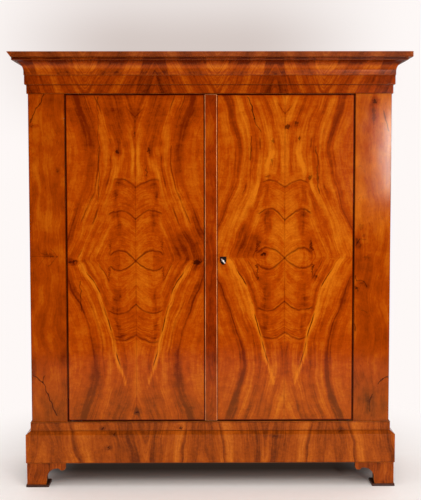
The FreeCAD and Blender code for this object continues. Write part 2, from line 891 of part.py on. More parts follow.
os.makedirs("parts", exist_ok=True)
for name, solids in nodes.items():
    shape = solids[0] if len(solids) == 1 else Part.makeCompound(solids)
    shape.exportStep("parts/" + name + ".step")
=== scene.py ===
import logging
import math
from dataclasses import dataclass, fields, replace
from enum import Enum
from typing import Callable, Dict, List, Optional, Sequence, Tuple, Union

import bmesh
import bpy
import numpy as np
from bpy.types import ID, Material, Mesh, Node, NodeSocket, NodeTree, Object
from mathutils import Matrix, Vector
from numpy.typing import NDArray


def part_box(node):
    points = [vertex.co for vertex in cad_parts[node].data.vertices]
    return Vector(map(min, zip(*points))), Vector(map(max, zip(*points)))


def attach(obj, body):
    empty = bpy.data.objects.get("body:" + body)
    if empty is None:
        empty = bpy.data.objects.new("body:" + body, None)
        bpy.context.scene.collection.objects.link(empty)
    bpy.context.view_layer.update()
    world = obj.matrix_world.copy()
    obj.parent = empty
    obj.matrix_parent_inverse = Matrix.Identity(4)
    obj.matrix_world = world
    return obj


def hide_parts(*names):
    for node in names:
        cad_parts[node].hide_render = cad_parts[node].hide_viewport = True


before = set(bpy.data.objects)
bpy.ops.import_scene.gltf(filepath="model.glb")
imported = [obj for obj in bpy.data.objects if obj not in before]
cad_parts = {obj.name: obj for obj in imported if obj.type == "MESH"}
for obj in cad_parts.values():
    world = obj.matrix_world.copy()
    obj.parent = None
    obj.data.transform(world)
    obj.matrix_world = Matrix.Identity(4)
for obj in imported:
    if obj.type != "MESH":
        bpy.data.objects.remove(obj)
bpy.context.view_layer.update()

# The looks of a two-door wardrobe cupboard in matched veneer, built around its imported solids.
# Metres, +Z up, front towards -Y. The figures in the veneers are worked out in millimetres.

log = logging.getLogger("wardrobe")

Points = NDArray[np.float64]
Place = Callable[[Points, Points], Points]
Colour = Tuple[float, float, float, float]

TO_MM = 1000.0
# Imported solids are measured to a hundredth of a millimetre.
BOX_DIGITS = 5
REARWARD = (0.0, 1.0, 0.0)
UPWARD = (0.0, 0.0, 1.0)

# Steps along a rounded corner, and how far past it the next point stands, as a share of its radius.
ARC_STEPS = 4
SUPPORT_SHARE = 0.35
# Points round a turned piece.
TURN_POINTS = 28
# Faces that meet at less than this angle are shaded as one.
SMOOTH_LIMIT = math.radians(32)
# How sharply a surface turns on a full arris, and how squarely a hidden face looks inwards.
ARRIS_SCALE = 0.02
INWARD_SHARE = 0.9
# Part of a noise's range that is stretched to 0 to 1.
NOISE_RANGE = (0.22, 0.78)
# Where a Mix node takes in its two colours and puts out the mixed one.
MIX_FIRST, MIX_SECOND, MIX_RESULT = 6, 7, 2
# A knot's size as a share of what it is given, its edge in squared shares of that, and its halo.
SPOT_SPREAD = 1.05
SPOT_EDGE = (0.8, 0.25)
HALO_SPREAD = 2.6
HALO_DEPTH = 0.32
# X and Y in millimetres where a post's outer arris starts.
POST_ARRIS = (804.0, -215.0)
# Heights in millimetres between which a post's painted shade and light change.
UNDER_CORNICE = (1640.0, 1772.0)
UPPER_PART = (880.0, 1240.0)
LOWER_PART = (1150.0, 600.0)
ABOVE_BASE = (640.0, 380.0)
# Half of what a banded finish's ramp covers, in metres, and the turning lines along the sides.
RAMP_REACH = 1.3
SIDE_TURNS = (-330.0, -90.0, 150.0, 400.0)


class Body(Enum):
    """Bodies that the new pieces ride on."""

    CARCASS = "carcass"
    RIGHT_DOOR = "right_door"
    KEY = "key"


class Slot(Enum):
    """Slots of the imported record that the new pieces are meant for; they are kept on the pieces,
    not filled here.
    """

    WALNUT = "walnut_veneer"
    EBONISED = "ebonised_wood"
    KEY_STEEL = "key_steel"


class Side(Enum):
    """The two ends of the wardrobe, by the sign of X."""

    LEFT = -1
    RIGHT = 1

    def span(self, first: float, second: float) -> Tuple[float, float]:
        """Two distances from the middle as X at this end, the lower first."""
        low, high = sorted((self.value * first, self.value * second))
        return low, high

    def inward(self) -> Tuple[float, float, float]:
        """Direction from this end to the middle."""
        return (-float(self.value), 0.0, 0.0)


class Run(Enum):
    """Which way a banded moulding runs, by the index of its axis."""

    FRONT = 0
    SIDE = 1


class Grain(Enum):
    """Which way a plain board's grain runs, by the index of its axis."""

    ACROSS = 0
    DEEP = 1
    UPRIGHT = 2


def box_of(node: str) -> Tuple[Points, Points]:
    """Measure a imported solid.

    Args:
        node: its name.

    Returns:
        Its lowest and highest corners at rest.
    """
    low, high = (np.round(np.array(corner, float), BOX_DIGITS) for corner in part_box(node))
    return low, high


@dataclass(frozen=True)
class Planes:
    """Main planes of the carcass, in metres."""

    half_width: float
    front: float
    back: float
    plinth: float
    slope: float
    cap: float
    floor: float
    head: float
    step: float
    cove: float
    spring: float
    fillet: float
    slab: float
    top: float

    @classmethod
    def measured(cls, slope: float = 0.015, fascia: float = 0.040, foot: float = 0.015,
                 fillet: float = 0.011) -> "Planes":
        """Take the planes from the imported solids.

        Args:
            slope: height of the plinth's sloped top.
            fascia: height of the frieze's lower fascia.
            foot: height of the upright foot under the cove's hollow.
            fillet: height of the fillet over it.

        Returns:
            The planes.
        """
        post_low, post_high = box_of("right_pilaster")
        plinth_low, plinth_high = box_of("plinth_front")
        cove_low, cove_high = box_of("cove_front")
        _, slab_high = box_of("cornice_slab")
        return cls(
            half_width=post_high[0], front=post_low[1], back=slab_high[1],
            plinth=plinth_low[2], slope=plinth_high[2] - slope, cap=plinth_high[2],
            floor=post_low[2], head=post_high[2], step=post_high[2] + fascia,
            cove=cove_low[2], spring=cove_low[2] + foot, fillet=cove_high[2] - fillet,
            slab=cove_high[2], top=slab_high[2])


PLANES = Planes.measured()


# Shapes

def soft_outline(corners: Points, radii: Sequence[float]) -> Points:
    """Round the corners of a closed outline.

    At a corner that turns by an angle a, an arc of radius r touches both sides at r tan(a / 2)
    from the corner. It is drawn as a weighted quadratic curve with the corner as its middle point
    and cos(a / 2) as its weight, which is a true circle. One more point on each side, just past
    the arc, keeps the flats flat. A corner of radius zero stays one point.

    Args:
        corners: the outline's corners, one row each.
        radii: the radius at each corner.

    Returns:
        The rounded outline, one row for each point.
    """
    radius = np.asarray(radii, float)[:, None]
    back = np.roll(corners, 1, axis=0) - corners
    ahead = np.roll(corners, -1, axis=0) - corners
    back = back / np.linalg.norm(back, axis=1, keepdims=True)
    ahead = ahead / np.linalg.norm(ahead, axis=1, keepdims=True)
    cosine = np.clip((back * ahead).sum(1, keepdims=True), -1.0, 1.0)
    half_turn = (math.pi - np.arccos(cosine)) / 2
    reach = radius * np.tan(half_turn)
    spare = radius * SUPPORT_SHARE
    t = np.linspace(0.0, 1.0, ARC_STEPS + 1)[None, :, None]
    weight = np.cos(half_turn)[:, None]
    start, end = corners + back * reach, corners + ahead * reach
    early, middle, late = (1 - t) ** 2, 2 * weight * t * (1 - t), t ** 2
    arc = early * start[:, None] + middle * corners[:, None] + late * end[:, None]
    arc = arc / (early + middle + late)
    lead = corners + back * (reach + spare)
    tail = corners + ahead * (reach + spare)
    rows = np.concatenate([lead[:, None], arc, tail[:, None]], axis=1)
    keep = np.ones(rows.shape[:2], bool)
    keep[radius[:, 0] == 0, 1:] = False
    return rows[keep]


def soft_plate(outline: Points, depth: Tuple[float, float], rims: Tuple[float, float],
               place: Place) -> Points:
    """Carry a closed outline straight through a depth and round both rims.

    Along a rim of radius r, the outline draws in by r (1 - sin a) as it moves on by r (1 - cos a),
    with a from 0 to a right angle. Each point draws in along the mitre of its two sides.

    Args:
        outline: the outline, one row for each point.
        depth: where the plate starts and ends.
        rims: the radius of the rim at the start and at the end.
        place: puts flat points and their depths into space.

    Returns:
        Rings of points, from one face to the other.
    """
    ahead = np.roll(outline, -1, axis=0) - outline
    normal = np.stack([ahead[:, 1], -ahead[:, 0]], axis=1)
    normal /= np.linalg.norm(normal, axis=1, keepdims=True)
    following = np.roll(outline, -1, axis=0)
    if (outline[:, 0] * following[:, 1] - following[:, 0] * outline[:, 1]).sum() < 0:
        normal = -normal
    before = np.roll(normal, 1, axis=0)
    mitre = (normal + before) / (1 + (normal * before).sum(1, keepdims=True))
    turn = np.linspace(0.0, math.pi / 2, ARC_STEPS + 1)

    def rim(radius: float) -> Tuple[Points, Points]:
        """Insets and drops of the rings along one rim.

        Args:
            radius: the rim's radius.

        Returns:
            The insets and the drops.
        """
        past = radius * (1 + SUPPORT_SHARE)
        inset = np.concatenate([[past], radius * (1 - np.sin(turn)), [0.0]])
        drop = np.concatenate([[0.0], radius * (1 - np.cos(turn)), [past]])
        return inset, drop

    near_inset, near_drop = rim(rims[0])
    far_inset, far_drop = rim(rims[1])
    inset = np.concatenate([near_inset, far_inset[::-1]])
    level = np.concatenate([depth[0] + near_drop, depth[1] - far_drop[::-1]])
    flat = outline[None] - mitre[None] * inset[:, None, None]
    return place(flat, np.broadcast_to(level[:, None], flat.shape[:2]))


def soft_block(low: Sequence[float], high: Sequence[float], arris: float, rim: float,
               axis: int = 2) -> Points:
    """Block between two corners with rounded arrises along one axis and rounded rims at its ends.

    Args:
        low: lowest corner.
        high: highest corner.
        arris: radius of the four long arrises.
        rim: radius of the rims at both ends, smaller than the arris.
        axis: index of the long axis.

    Returns:
        Rings of points along the axis.
    """
    first, second = [index for index in range(3) if index != axis]
    corners = np.array([
        [low[first], low[second]], [high[first], low[second]],
        [high[first], high[second]], [low[first], high[second]]])

    def place(flat: Points, level: Points) -> Points:
        """Put the outline across the long axis.

        Args:
            flat: points across the axis.
            level: their places along it.

        Returns:
            The points in space.
        """
        made = np.empty(flat.shape[:-1] + (3,))
        made[..., first], made[..., second] = flat[..., 0], flat[..., 1]
        made[..., axis] = level
        return made

    outline = soft_outline(corners, [arris] * 4)
    return soft_plate(outline, (low[axis], high[axis]), (rim, rim), place)


def front_run(section: Points, corner: float) -> Points:
    """Carry a section along the front, turning into the corner planes at both ends.

    A point of projection p stands at half_width + p - r + r sin(a) to the side and at
    front - p + r - r cos(a) in depth, with a from 45 degrees in the corner plane to 0.

    Args:
        section: projection and height of each point.
        corner: radius r of the upright corners.

    Returns:
        Rings of points from the left end to the right.
    """
    turn = np.linspace(math.pi / 4, 0.0, ARC_STEPS + 1)
    angle = np.concatenate([turn, [0.0, 0.0], turn[::-1]])[:, None]
    side = np.repeat([-1.0, 1.0], len(turn) + 1)[:, None]
    spare = np.zeros_like(angle)
    spare[len(turn):len(turn) + 2] = corner * SUPPORT_SHARE
    out, level = section[None, :, 0], section[None, :, 1]
    x = side * (PLANES.half_width + out - corner + corner * np.sin(angle) - spare)
    y = PLANES.front - out + corner - corner * np.cos(angle)
    return np.stack([x, y, np.broadcast_to(level, x.shape)], axis=-1)


def side_run(section: Points, corner: float, side: Side) -> Points:
    """Carry a section along one side, from the front corner plane to a square rear end.

    It uses the front run's formula, with a from 45 to 90 degrees, and then goes straight back.

    Args:
        section: projection and height of each point.
        corner: radius of the upright corner.
        side: which side.

    Returns:
        Rings of points from the front to the back.
    """
    turn = np.linspace(math.pi / 4, math.pi / 2, ARC_STEPS + 1)
    angle = np.concatenate([turn, [math.pi / 2, math.pi / 2]])[:, None]
    out, level = section[None, :, 0], section[None, :, 1]
    x = side.value * (PLANES.half_width + out - corner + corner * np.sin(angle))
    y = PLANES.front - out + corner - corner * np.cos(angle)
    y = np.broadcast_to(y, x.shape).copy()
    y[-2] += corner * SUPPORT_SHARE
    y[-1] = PLANES.back
    return np.stack([x, y, np.broadcast_to(level, x.shape)], axis=-1)


def turned(profile: Points) -> Points:
    """Turn a profile round the Y axis.

    A point of radius r and depth y stands at r cos(a) and r sin(a) round the axis.

    Args:
        profile: radius and depth of each ring.

    Returns:
        Rings of points along the axis.
    """
    angle = np.linspace(0.0, 2 * math.pi, TURN_POINTS, endpoint=False)[None]
    radius, depth = profile[:, :1], profile[:, 1:]
    x, z = radius * np.cos(angle), radius * np.sin(angle)
    return np.stack([x, np.broadcast_to(depth, x.shape), z], axis=-1)


@dataclass
class Shell:
    """Rings of points joined by quads.

    Caps close the two end rings, unless the rings are looped, when the last joins the first.
    """

    rings: Points
    looped: bool = False

    def faces(self, start: int) -> List[List[int]]:
        """Faces of the shell.

        Args:
            start: index of its first point in the mesh.

        Returns:
            Point indices of each face.
        """
        count, around = self.rings.shape[:2]
        ring = np.arange(count if self.looped else count - 1)[:, None]
        point = np.arange(around)[None]
        following = (ring + 1) % count
        beside = (point + 1) % around
        quads = np.stack([
            ring * around + point, ring * around + beside,
            following * around + beside, following * around + point], axis=-1)
        made = (start + quads.reshape(-1, 4)).tolist()
        if not self.looped:
            made.append((start + np.arange(around)[::-1]).tolist())
            made.append((start + (count - 1) * around + np.arange(around)).tolist())
        return made


def gathered(items: bpy.types.bpy_prop_collection, name: str, width: int = 1,
             kind: type = np.float64) -> NDArray:
    """Read one property of all points, faces or loops of a mesh.

    Args:
        items: the points, faces or loops.
        name: the property.
        width: how many numbers it has.
        kind: their type.

    Returns:
        One number or one row for each item.
    """
    values = np.empty(len(items) * width, kind)
    items.foreach_get(name, values)
    return values.reshape(-1, width) if width > 1 else values


def mark_arrises(mesh: Mesh) -> None:
    """Give each point how sharply the surface turns: above 0 on arrises, below 0 in hollows.

    It is the mean of 1 - cos of the angle between the point's normal and each face around it, with
    the sign of how far the face's centre falls below the point's tangent plane.

    Args:
        mesh: the mesh to mark.
    """
    points, normals = (gathered(mesh.vertices, name, 3) for name in ("co", "normal"))
    centres, facing = (gathered(mesh.polygons, name, 3) for name in ("center", "normal"))
    totals = gathered(mesh.polygons, "loop_total", kind=np.int32)
    vertex = gathered(mesh.loops, "vertex_index", kind=np.int32)
    face = np.repeat(np.arange(len(totals)), totals)
    bend = 1 - (normals[vertex] * facing[face]).sum(1)
    fall = -((centres[face] - points[vertex]) * normals[vertex]).sum(1)
    total = np.bincount(vertex, bend * np.sign(fall), len(points))
    number = np.maximum(np.bincount(vertex, minlength=len(points)), 1)
    value = np.clip(total / number / ARRIS_SCALE, -1.0, 1.0)
    layer = mesh.attributes.new("arris", "FLOAT", "POINT")
    layer.data.foreach_set("value", value.astype(np.float32))


@dataclass
class Piece:
    """One new piece: its shells, what it stands for, how it is dressed and what it rides on.

    Faces that look along inward wear the inner material, where one is given.
    """

    name: str
    shells: Sequence[Shell]
    stands_for: str
    material: Material
    inner: Optional[Material] = None
    inward: Tuple[float, float, float] = REARWARD
    body: Body = Body.CARCASS
    slot: Slot = Slot.WALNUT

    def make(self) -> None:
        """Put the shells into one mesh, dress it and tie it to its body."""
        starts = np.cumsum([0] + [shell.rings.size // 3 for shell in self.shells])
        points = np.concatenate([shell.rings.reshape(-1, 3) for shell in self.shells])
        faces: List[List[int]] = []
        for shell, start in zip(self.shells, starts):
            faces += shell.faces(int(start))
        mesh = bpy.data.meshes.new(self.name)
        mesh.from_pydata(points.tolist(), [], faces)
        work = bmesh.new()
        work.from_mesh(mesh)
        bmesh.ops.recalc_face_normals(work, faces=work.faces)
        work.to_mesh(mesh)
        work.free()
        mesh.polygons.foreach_set("use_smooth", np.ones(len(mesh.polygons), bool))
        mesh.set_sharp_from_angle(angle=SMOOTH_LIMIT)
        mark_arrises(mesh)
        mesh.materials.append(self.material)
        if self.inner is not None:
            mesh.materials.append(self.inner)
            facing = gathered(mesh.polygons, "normal", 3)
            hidden = facing @ np.array(self.inward) > INWARD_SHARE
            mesh.polygons.foreach_set("material_index", hidden.astype(np.int32))
        made = bpy.data.objects.new(self.name, mesh)
        bpy.context.scene.collection.objects.link(made)
        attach(made, self.body.value)
        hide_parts(self.stands_for)
        log.info("piece %s stands for %s on %s", self.name, self.stands_for, self.body.value)


def dress(material: Material, *names: str) -> None:
    """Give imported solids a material.

    Args:
        material: the material.
        names: the solids' names.
    """
    for name in names:
        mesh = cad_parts[name].data
        mesh.materials.clear()
        mesh.materials.append(material)
        log.info("piece %s wears %s", name, material.name)


# Shader graphs

def by_math(operation: str, swapped: bool = False) -> Callable[..., "Signal"]:
    """Make a method of a signal that adds a Math node.

    Args:
        operation: the node's operation.
        swapped: whether the signal is its second input.

    Returns:
        The method.
    """
    def method(self: "Signal", *others: "Number") -> "Signal":
        """Add the node and return what it puts out."""
        values = (*others, self) if swapped else (self, *others)
        return self.graph.math(operation, *values)

    return method


class Signal:
    """A number that changes over the surface. Sums and products of signals add Math nodes."""

    def __init__(self, graph: "Graph", socket: NodeSocket) -> None:
        """Keep the graph and the socket that puts the number out."""
        self.graph = graph
        self.socket = socket

    __add__ = __radd__ = by_math("ADD")
    __mul__ = __rmul__ = by_math("MULTIPLY")
    __sub__ = by_math("SUBTRACT")
    __rsub__ = by_math("SUBTRACT", swapped=True)
    __truediv__ = by_math("DIVIDE")
    __abs__ = by_math("ABSOLUTE")
    sine = by_math("SINE")
    root = by_math("SQRT")
    least = by_math("MINIMUM")
    most = by_math("MAXIMUM")

    def clamped(self) -> "Signal":
        """Kept between 0 and 1."""
        return self.graph.math("ADD", self, 0.0, clamp=True)

    def step(self, low: float, high: float) -> "Signal":
        """Smooth step from 0 at low to 1 at high, which may be the lower of the two.

        Args:
            low: where it starts.
            high: where it ends.

        Returns:
            The step.
        """
        made = self.graph.node(
            "ShaderNodeMapRange", self, low, high, interpolation_type="SMOOTHSTEP")
        return Signal(self.graph, made.outputs[0])

    def ramp(self, low: float, high: float) -> "Signal":
        """Straight ramp from 0 at low to 1 at high."""
        gain, start = 1.0 / (high - low), low / (low - high)
        return self.graph.math("MULTIPLY_ADD", self, gain, start, clamp=True)

    def peak(self, at: float, width: float) -> "Signal":
        """Smooth hump: 1 at a value, 0 from a width away."""
        return abs(self - at).step(width, 0.0)


Number = Union[float, Signal]
Socketed = Union[float, "Tint", Signal, NodeSocket, Node]
Figure = Tuple[Signal, Signal, Signal]


class Graph:
    """A shader node tree and short ways to add nodes to it."""

    def __init__(self, tree: NodeTree) -> None:
        """Keep the tree."""
        self.tree = tree

    def node(self, kind: str, *values: Socketed, **settings: object) -> Node:
        """Add a node.

        Args:
            kind: the node's type name.
            values: what its first inputs get, in order.
            settings: its properties.

        Returns:
            The node.
        """
        made = self.tree.nodes.new(kind)
        for key, value in settings.items():
            setattr(made, key, value)
        for socket, value in zip(made.inputs, values):
            self.feed(socket, value)
        return made

    def feed(self, socket: NodeSocket, value: Socketed) -> None:
        """Link a signal, a socket or a node's first output to an input, or set what it holds.

        Args:
            socket: the input.
            value: what it gets.
        """
        if isinstance(value, Node):
            value = value.outputs[0]
        elif isinstance(value, Signal):
            value = value.socket
        if isinstance(value, NodeSocket):
            self.tree.links.new(value, socket)
        else:
            socket.default_value = value.linear() if isinstance(value, Tint) else value

    def fill(self, node: Node, **values: Socketed) -> Node:
        """Feed a node's inputs by their names, with underscores for spaces.

        Args:
            node: the node.
            values: what its inputs get.

        Returns:
            The node.
        """
        for name, value in values.items():
            self.feed(node.inputs[name.replace("_", " ")], value)
        return node

    def math(self, operation: str, *values: Number, clamp: bool = False) -> Signal:
        """Add a Math node.

        Args:
            operation: its operation.
            values: its inputs.
            clamp: whether its output is kept between 0 and 1.

        Returns:
            Its output.
        """
        made = self.node("ShaderNodeMath", *values, operation=operation, use_clamp=clamp)
        return Signal(self, made.outputs[0])

    def noise(self, place: Sequence[Number], detail: float, roughness: float = 0.5) -> Signal:
        """Add smooth noise, stretched to about 0 to 1.

        Args:
            place: three coordinates, in wavelengths.
            detail: octaves of detail.
            roughness: how much of the detail shows.

        Returns:
            The noise.
        """
        made = self.fill(
            self.node("ShaderNodeTexNoise"), Vector=self.node("ShaderNodeCombineXYZ", *place),
            Scale=1.0, Detail=detail, Roughness=roughness)
        return Signal(self, made.outputs[0]).step(*NOISE_RANGE)

    def mix(self, share: Number, first: Socketed, second: Socketed,
            blend: str = "MIX") -> NodeSocket:
        """Mix two colours.

        Args:
            share: share of the second.
            first: the first colour.
            second: the second colour.
            blend: how they mix.

        Returns:
            The mixed colour.
        """
        made = self.node(
            "ShaderNodeMix", share, data_type="RGBA", clamp_factor=True, blend_type=blend)
        self.feed(made.inputs[MIX_FIRST], first)
        self.feed(made.inputs[MIX_SECOND], second)
        return made.outputs[MIX_RESULT]

    def place(self) -> Tuple[Signal, Signal, Signal]:
        """Object coordinates of the surface, in millimetres.

        Returns:
            X, Y and Z.
        """
        source = self.node("ShaderNodeTexCoord")
        scaled = self.node("ShaderNodeVectorMath", source.outputs["Object"], operation="SCALE")
        parts = self.node("ShaderNodeSeparateXYZ", self.fill(scaled, Scale=TO_MM))
        x, y, z = (Signal(self, socket) for socket in parts.outputs)
        return x, y, z

    def spot(self, x: Signal, z: Signal, at: Tuple[float, float], size: Tuple[float, float],
             edge: Tuple[float, float] = (1.0, 0.0)) -> Signal:
        """Soft oval spot.

        Args:
            x: first coordinate.
            z: second coordinate.
            at: its middle.
            size: its half width and half height.
            edge: where its edge starts and ends, as squared shares of its size.

        Returns:
            1 in the middle, 0 from its edge out.
        """
        across = (x - at[0]) / size[0]
        up = (z - at[1]) / size[1]
        return (across * across + up * up).step(*edge)

    def arris(self) -> Signal:
        """How sharply the piece turns here, as mark_arrises has marked it."""
        made = self.node("ShaderNodeAttribute", attribute_name="arris")
        return Signal(self, made.outputs["Fac"])

    def bump(self, shader: Node, height: Signal, strength: float, distance: float) -> None:
        """Raise and lower a shader's surface.

        Args:
            shader: the shader node.
            height: the height, about 0 to 1.
            strength: how much of it shows.
            distance: what a height of 1 stands for, in metres.
        """
        made = self.node("ShaderNodeBump")
        self.fill(made, Height=height, Strength=strength, Distance=distance)
        self.fill(shader, Normal=made)

    def group(self, tree: NodeTree, **inputs: Socketed) -> Dict[str, Signal]:
        """Place a node group.

        Args:
            tree: the group.
            inputs: its inputs by name.

        Returns:
            Its outputs by name.
        """
        made = self.fill(self.node("ShaderNodeGroup", node_tree=tree), **inputs)
        return {socket.name: Signal(self, socket) for socket in made.outputs}


class Effect:
    """A node group while it is being made."""

    def __init__(self, name: str, inputs: Dict[str, Union[float, "Tint"]],
                 outputs: Dict[str, str]) -> None:
        """Make the group and its sockets.

        Args:
            name: the group's name.
            inputs: default of each input, a number or a colour.
            outputs: socket type of each output.
        """
        self.tree = bpy.data.node_groups.new(name, "ShaderNodeTree")
        for label, default in inputs.items():
            tinted = isinstance(default, Tint)
            socket = self.tree.interface.new_socket(
                label, in_out="INPUT", socket_type=COLOUR if tinted else VALUE)
            socket.default_value = default.linear() if tinted else default
        for label, kind in outputs.items():
            self.tree.interface.new_socket(label, in_out="OUTPUT", socket_type=kind)
        self.graph = Graph(self.tree)
        source = self.graph.node("NodeGroupInput")
        self.inputs = {label: Signal(self.graph, source.outputs[label]) for label in inputs}
        self.sink = self.graph.node("NodeGroupOutput")

    def put(self, **outputs: Socketed) -> NodeTree:
        """Link the outputs.

        Args:
            outputs: what each output puts out.

        Returns:
            The finished group.
        """
        self.graph.fill(self.sink, **outputs)
        return self.tree


@dataclass(frozen=True)
class Tint:
    """A colour as it looks, with red, green and blue up to 255."""

    red: float
    green: float
    blue: float

    def linear(self) -> Colour:
        """The colour as light.

        Returns:
            Red, green, blue and a full alpha.
        """
        shares = np.array([self.red, self.green, self.blue]) / 255
        low = shares / 12.92
        high = ((shares + 0.055) / 1.055) ** 2.4
        red, green, blue = np.where(shares <= 0.04045, low, high).tolist()
        return (red, green, blue, 1.0)


@dataclass(frozen=True)
class Palette:
    """Colours of a polished veneer: its figure from dark to light, its lines and worn arrises,
    which on the closing strip are also a painted highlight.
    """

    deep: Tint = Tint(112, 32, 0)
    middle: Tint = Tint(174, 67, 2)
    gold: Tint = Tint(212, 114, 17)
    ink: Tint = Tint(82, 10, 0)
    # Worn arrises; a pale tint here also paints a highlight on them.
    rubbed: Tint = Tint(214, 118, 30)

    def inputs(self) -> Dict[str, Tint]:
        """The colours by the names of the polish's inputs."""
        return {item.name.title(): getattr(self, item.name) for item in fields(self)}


# Colours of the gloss, of knots, and of the painted reflection of the floor added to the veneer
# near the base.
SHELLAC_GLOSS = Tint(255, 253, 244)
KNOTTED = Tint(52, 10, 1)
FLOOR_SHEEN = Tint(6, 36, 8)
# Socket types of a group.
VALUE = "NodeSocketFloat"
COLOUR = "NodeSocketColor"


def grain_effect() -> NodeTree:
    """Grain of a veneer: broad bands, streaks, and pores, each drawn out along the grain.

    Returns:
        The node group.
    """
    effect = Effect(
        "veneer grain",
        {"Across": 0.0, "Along": 0.0, "Seed": 0.0},
        {"Broad": VALUE, "Streak": VALUE, "Pore": VALUE})
    graph = effect.graph
    across, along, seed = (effect.inputs[name] for name in ("Across", "Along", "Seed"))
    broad = graph.noise((across / 46.0, along / 620.0, seed), 2.0)
    streak = graph.noise((across / 9.0, along / 300.0, seed + 11.0), 4.0, 0.62)
    pore = graph.noise((across / 1.1, along / 22.0, seed + 5.0), 1.0)
    return effect.put(Broad=broad, Streak=streak, Pore=pore.step(0.62, 0.95))


def polish_effect() -> NodeTree:
    """Shellac polish: colour from tone, lines, pores, worn arrises that double as painted
    highlights, painted shade in hollows and a painted floor reflection.

    Returns:
        The node group.
    """
    plain = dict.fromkeys(("Line", "Knot", "Pore", "Arris", "Dull", "X", "Y", "Z"), 0.0)
    effect = Effect(
        "shellac polish", {"Tone": 0.5, "Wear": 1.0, **plain, **Palette().inputs()},
        {"Colour": COLOUR, "Roughness": VALUE, "Height": VALUE})
    graph, given = effect.graph, effect.inputs
    x, y, z = given["X"], given["Y"], given["Z"]
    cloud = graph.noise((x / 170.0, y / 170.0, z / 240.0), 2.0)
    smear = graph.noise((x / 30.0, y / 30.0, z / 45.0), 3.0, 0.6)
    tone = given["Tone"] + (cloud - 0.5) * 0.14 + (smear - 0.5) * 0.12
    colour = graph.mix(tone.ramp(0.0, 0.5), given["Deep"], given["Middle"])
    colour = graph.mix(tone.ramp(0.5, 1.0), colour, given["Gold"])
    # Painted reflection of the floor, added over the veneer just above the base.
    painted_floor_sheen = z.step(640.0, 330.0) * z.step(294.0, 300.0)
    colour = graph.mix(painted_floor_sheen, colour, FLOOR_SHEEN, "ADD")
    colour = graph.mix(given["Line"], colour, given["Ink"])
    colour = graph.mix(given["Knot"], colour, KNOTTED)
    colour = graph.mix(given["Pore"] * 0.22, colour, given["Ink"])
    # Worn arrises, lighter; strongly worn, as on the closing strip, they also paint the arris
    # highlight.
    rub_and_sheen = (given["Arris"].step(0.1, 0.9) * (0.25 + smear * 0.5) * given["Wear"]).clamped()
    colour = graph.mix(rub_and_sheen, colour, given["Rubbed"])
    # Painted shade in hollows, where faces meet in a concave corner.
    hollow = (given["Arris"] * -1.0).step(0.1, 0.9)
    colour = graph.mix(hollow * 0.5, colour, given["Ink"])
    roughness = given["Dull"] + 0.075 + cloud * 0.03 + smear * 0.02
    roughness = roughness + given["Pore"] * 0.03 + rub_and_sheen * 0.2
    height = cloud * 0.6 + smear * 0.05 - given["Pore"] * 0.01
    height = height - (given["Line"] + given["Knot"]) * 0.02
    return effect.put(Colour=colour, Roughness=roughness, Height=height)


@dataclass(frozen=True)
class CrotchSizes:
    """Measures of the crotch figure, in millimetres from its centre and its joint.

    Streaks stand upright at the neck, bend softly there and spread with a slope. The golden streak
    starts at its foot on the joint and leans in. A scallop has a height and a strength.
    """

    neck: float = 471.0
    bend: float = 200.0
    slope: float = 0.48
    gold_foot: float = 190.0
    gold_lean: float = 0.25
    scallops: Tuple[Tuple[float, float], ...] = ((337.0, 0.75), (193.0, 0.85), (0.0, 0.9))
    scallop_line: float = 8.0
    scallop_rise: float = 45.0
    scallop_run: float = 150.0
    scallop_end: float = 116.0


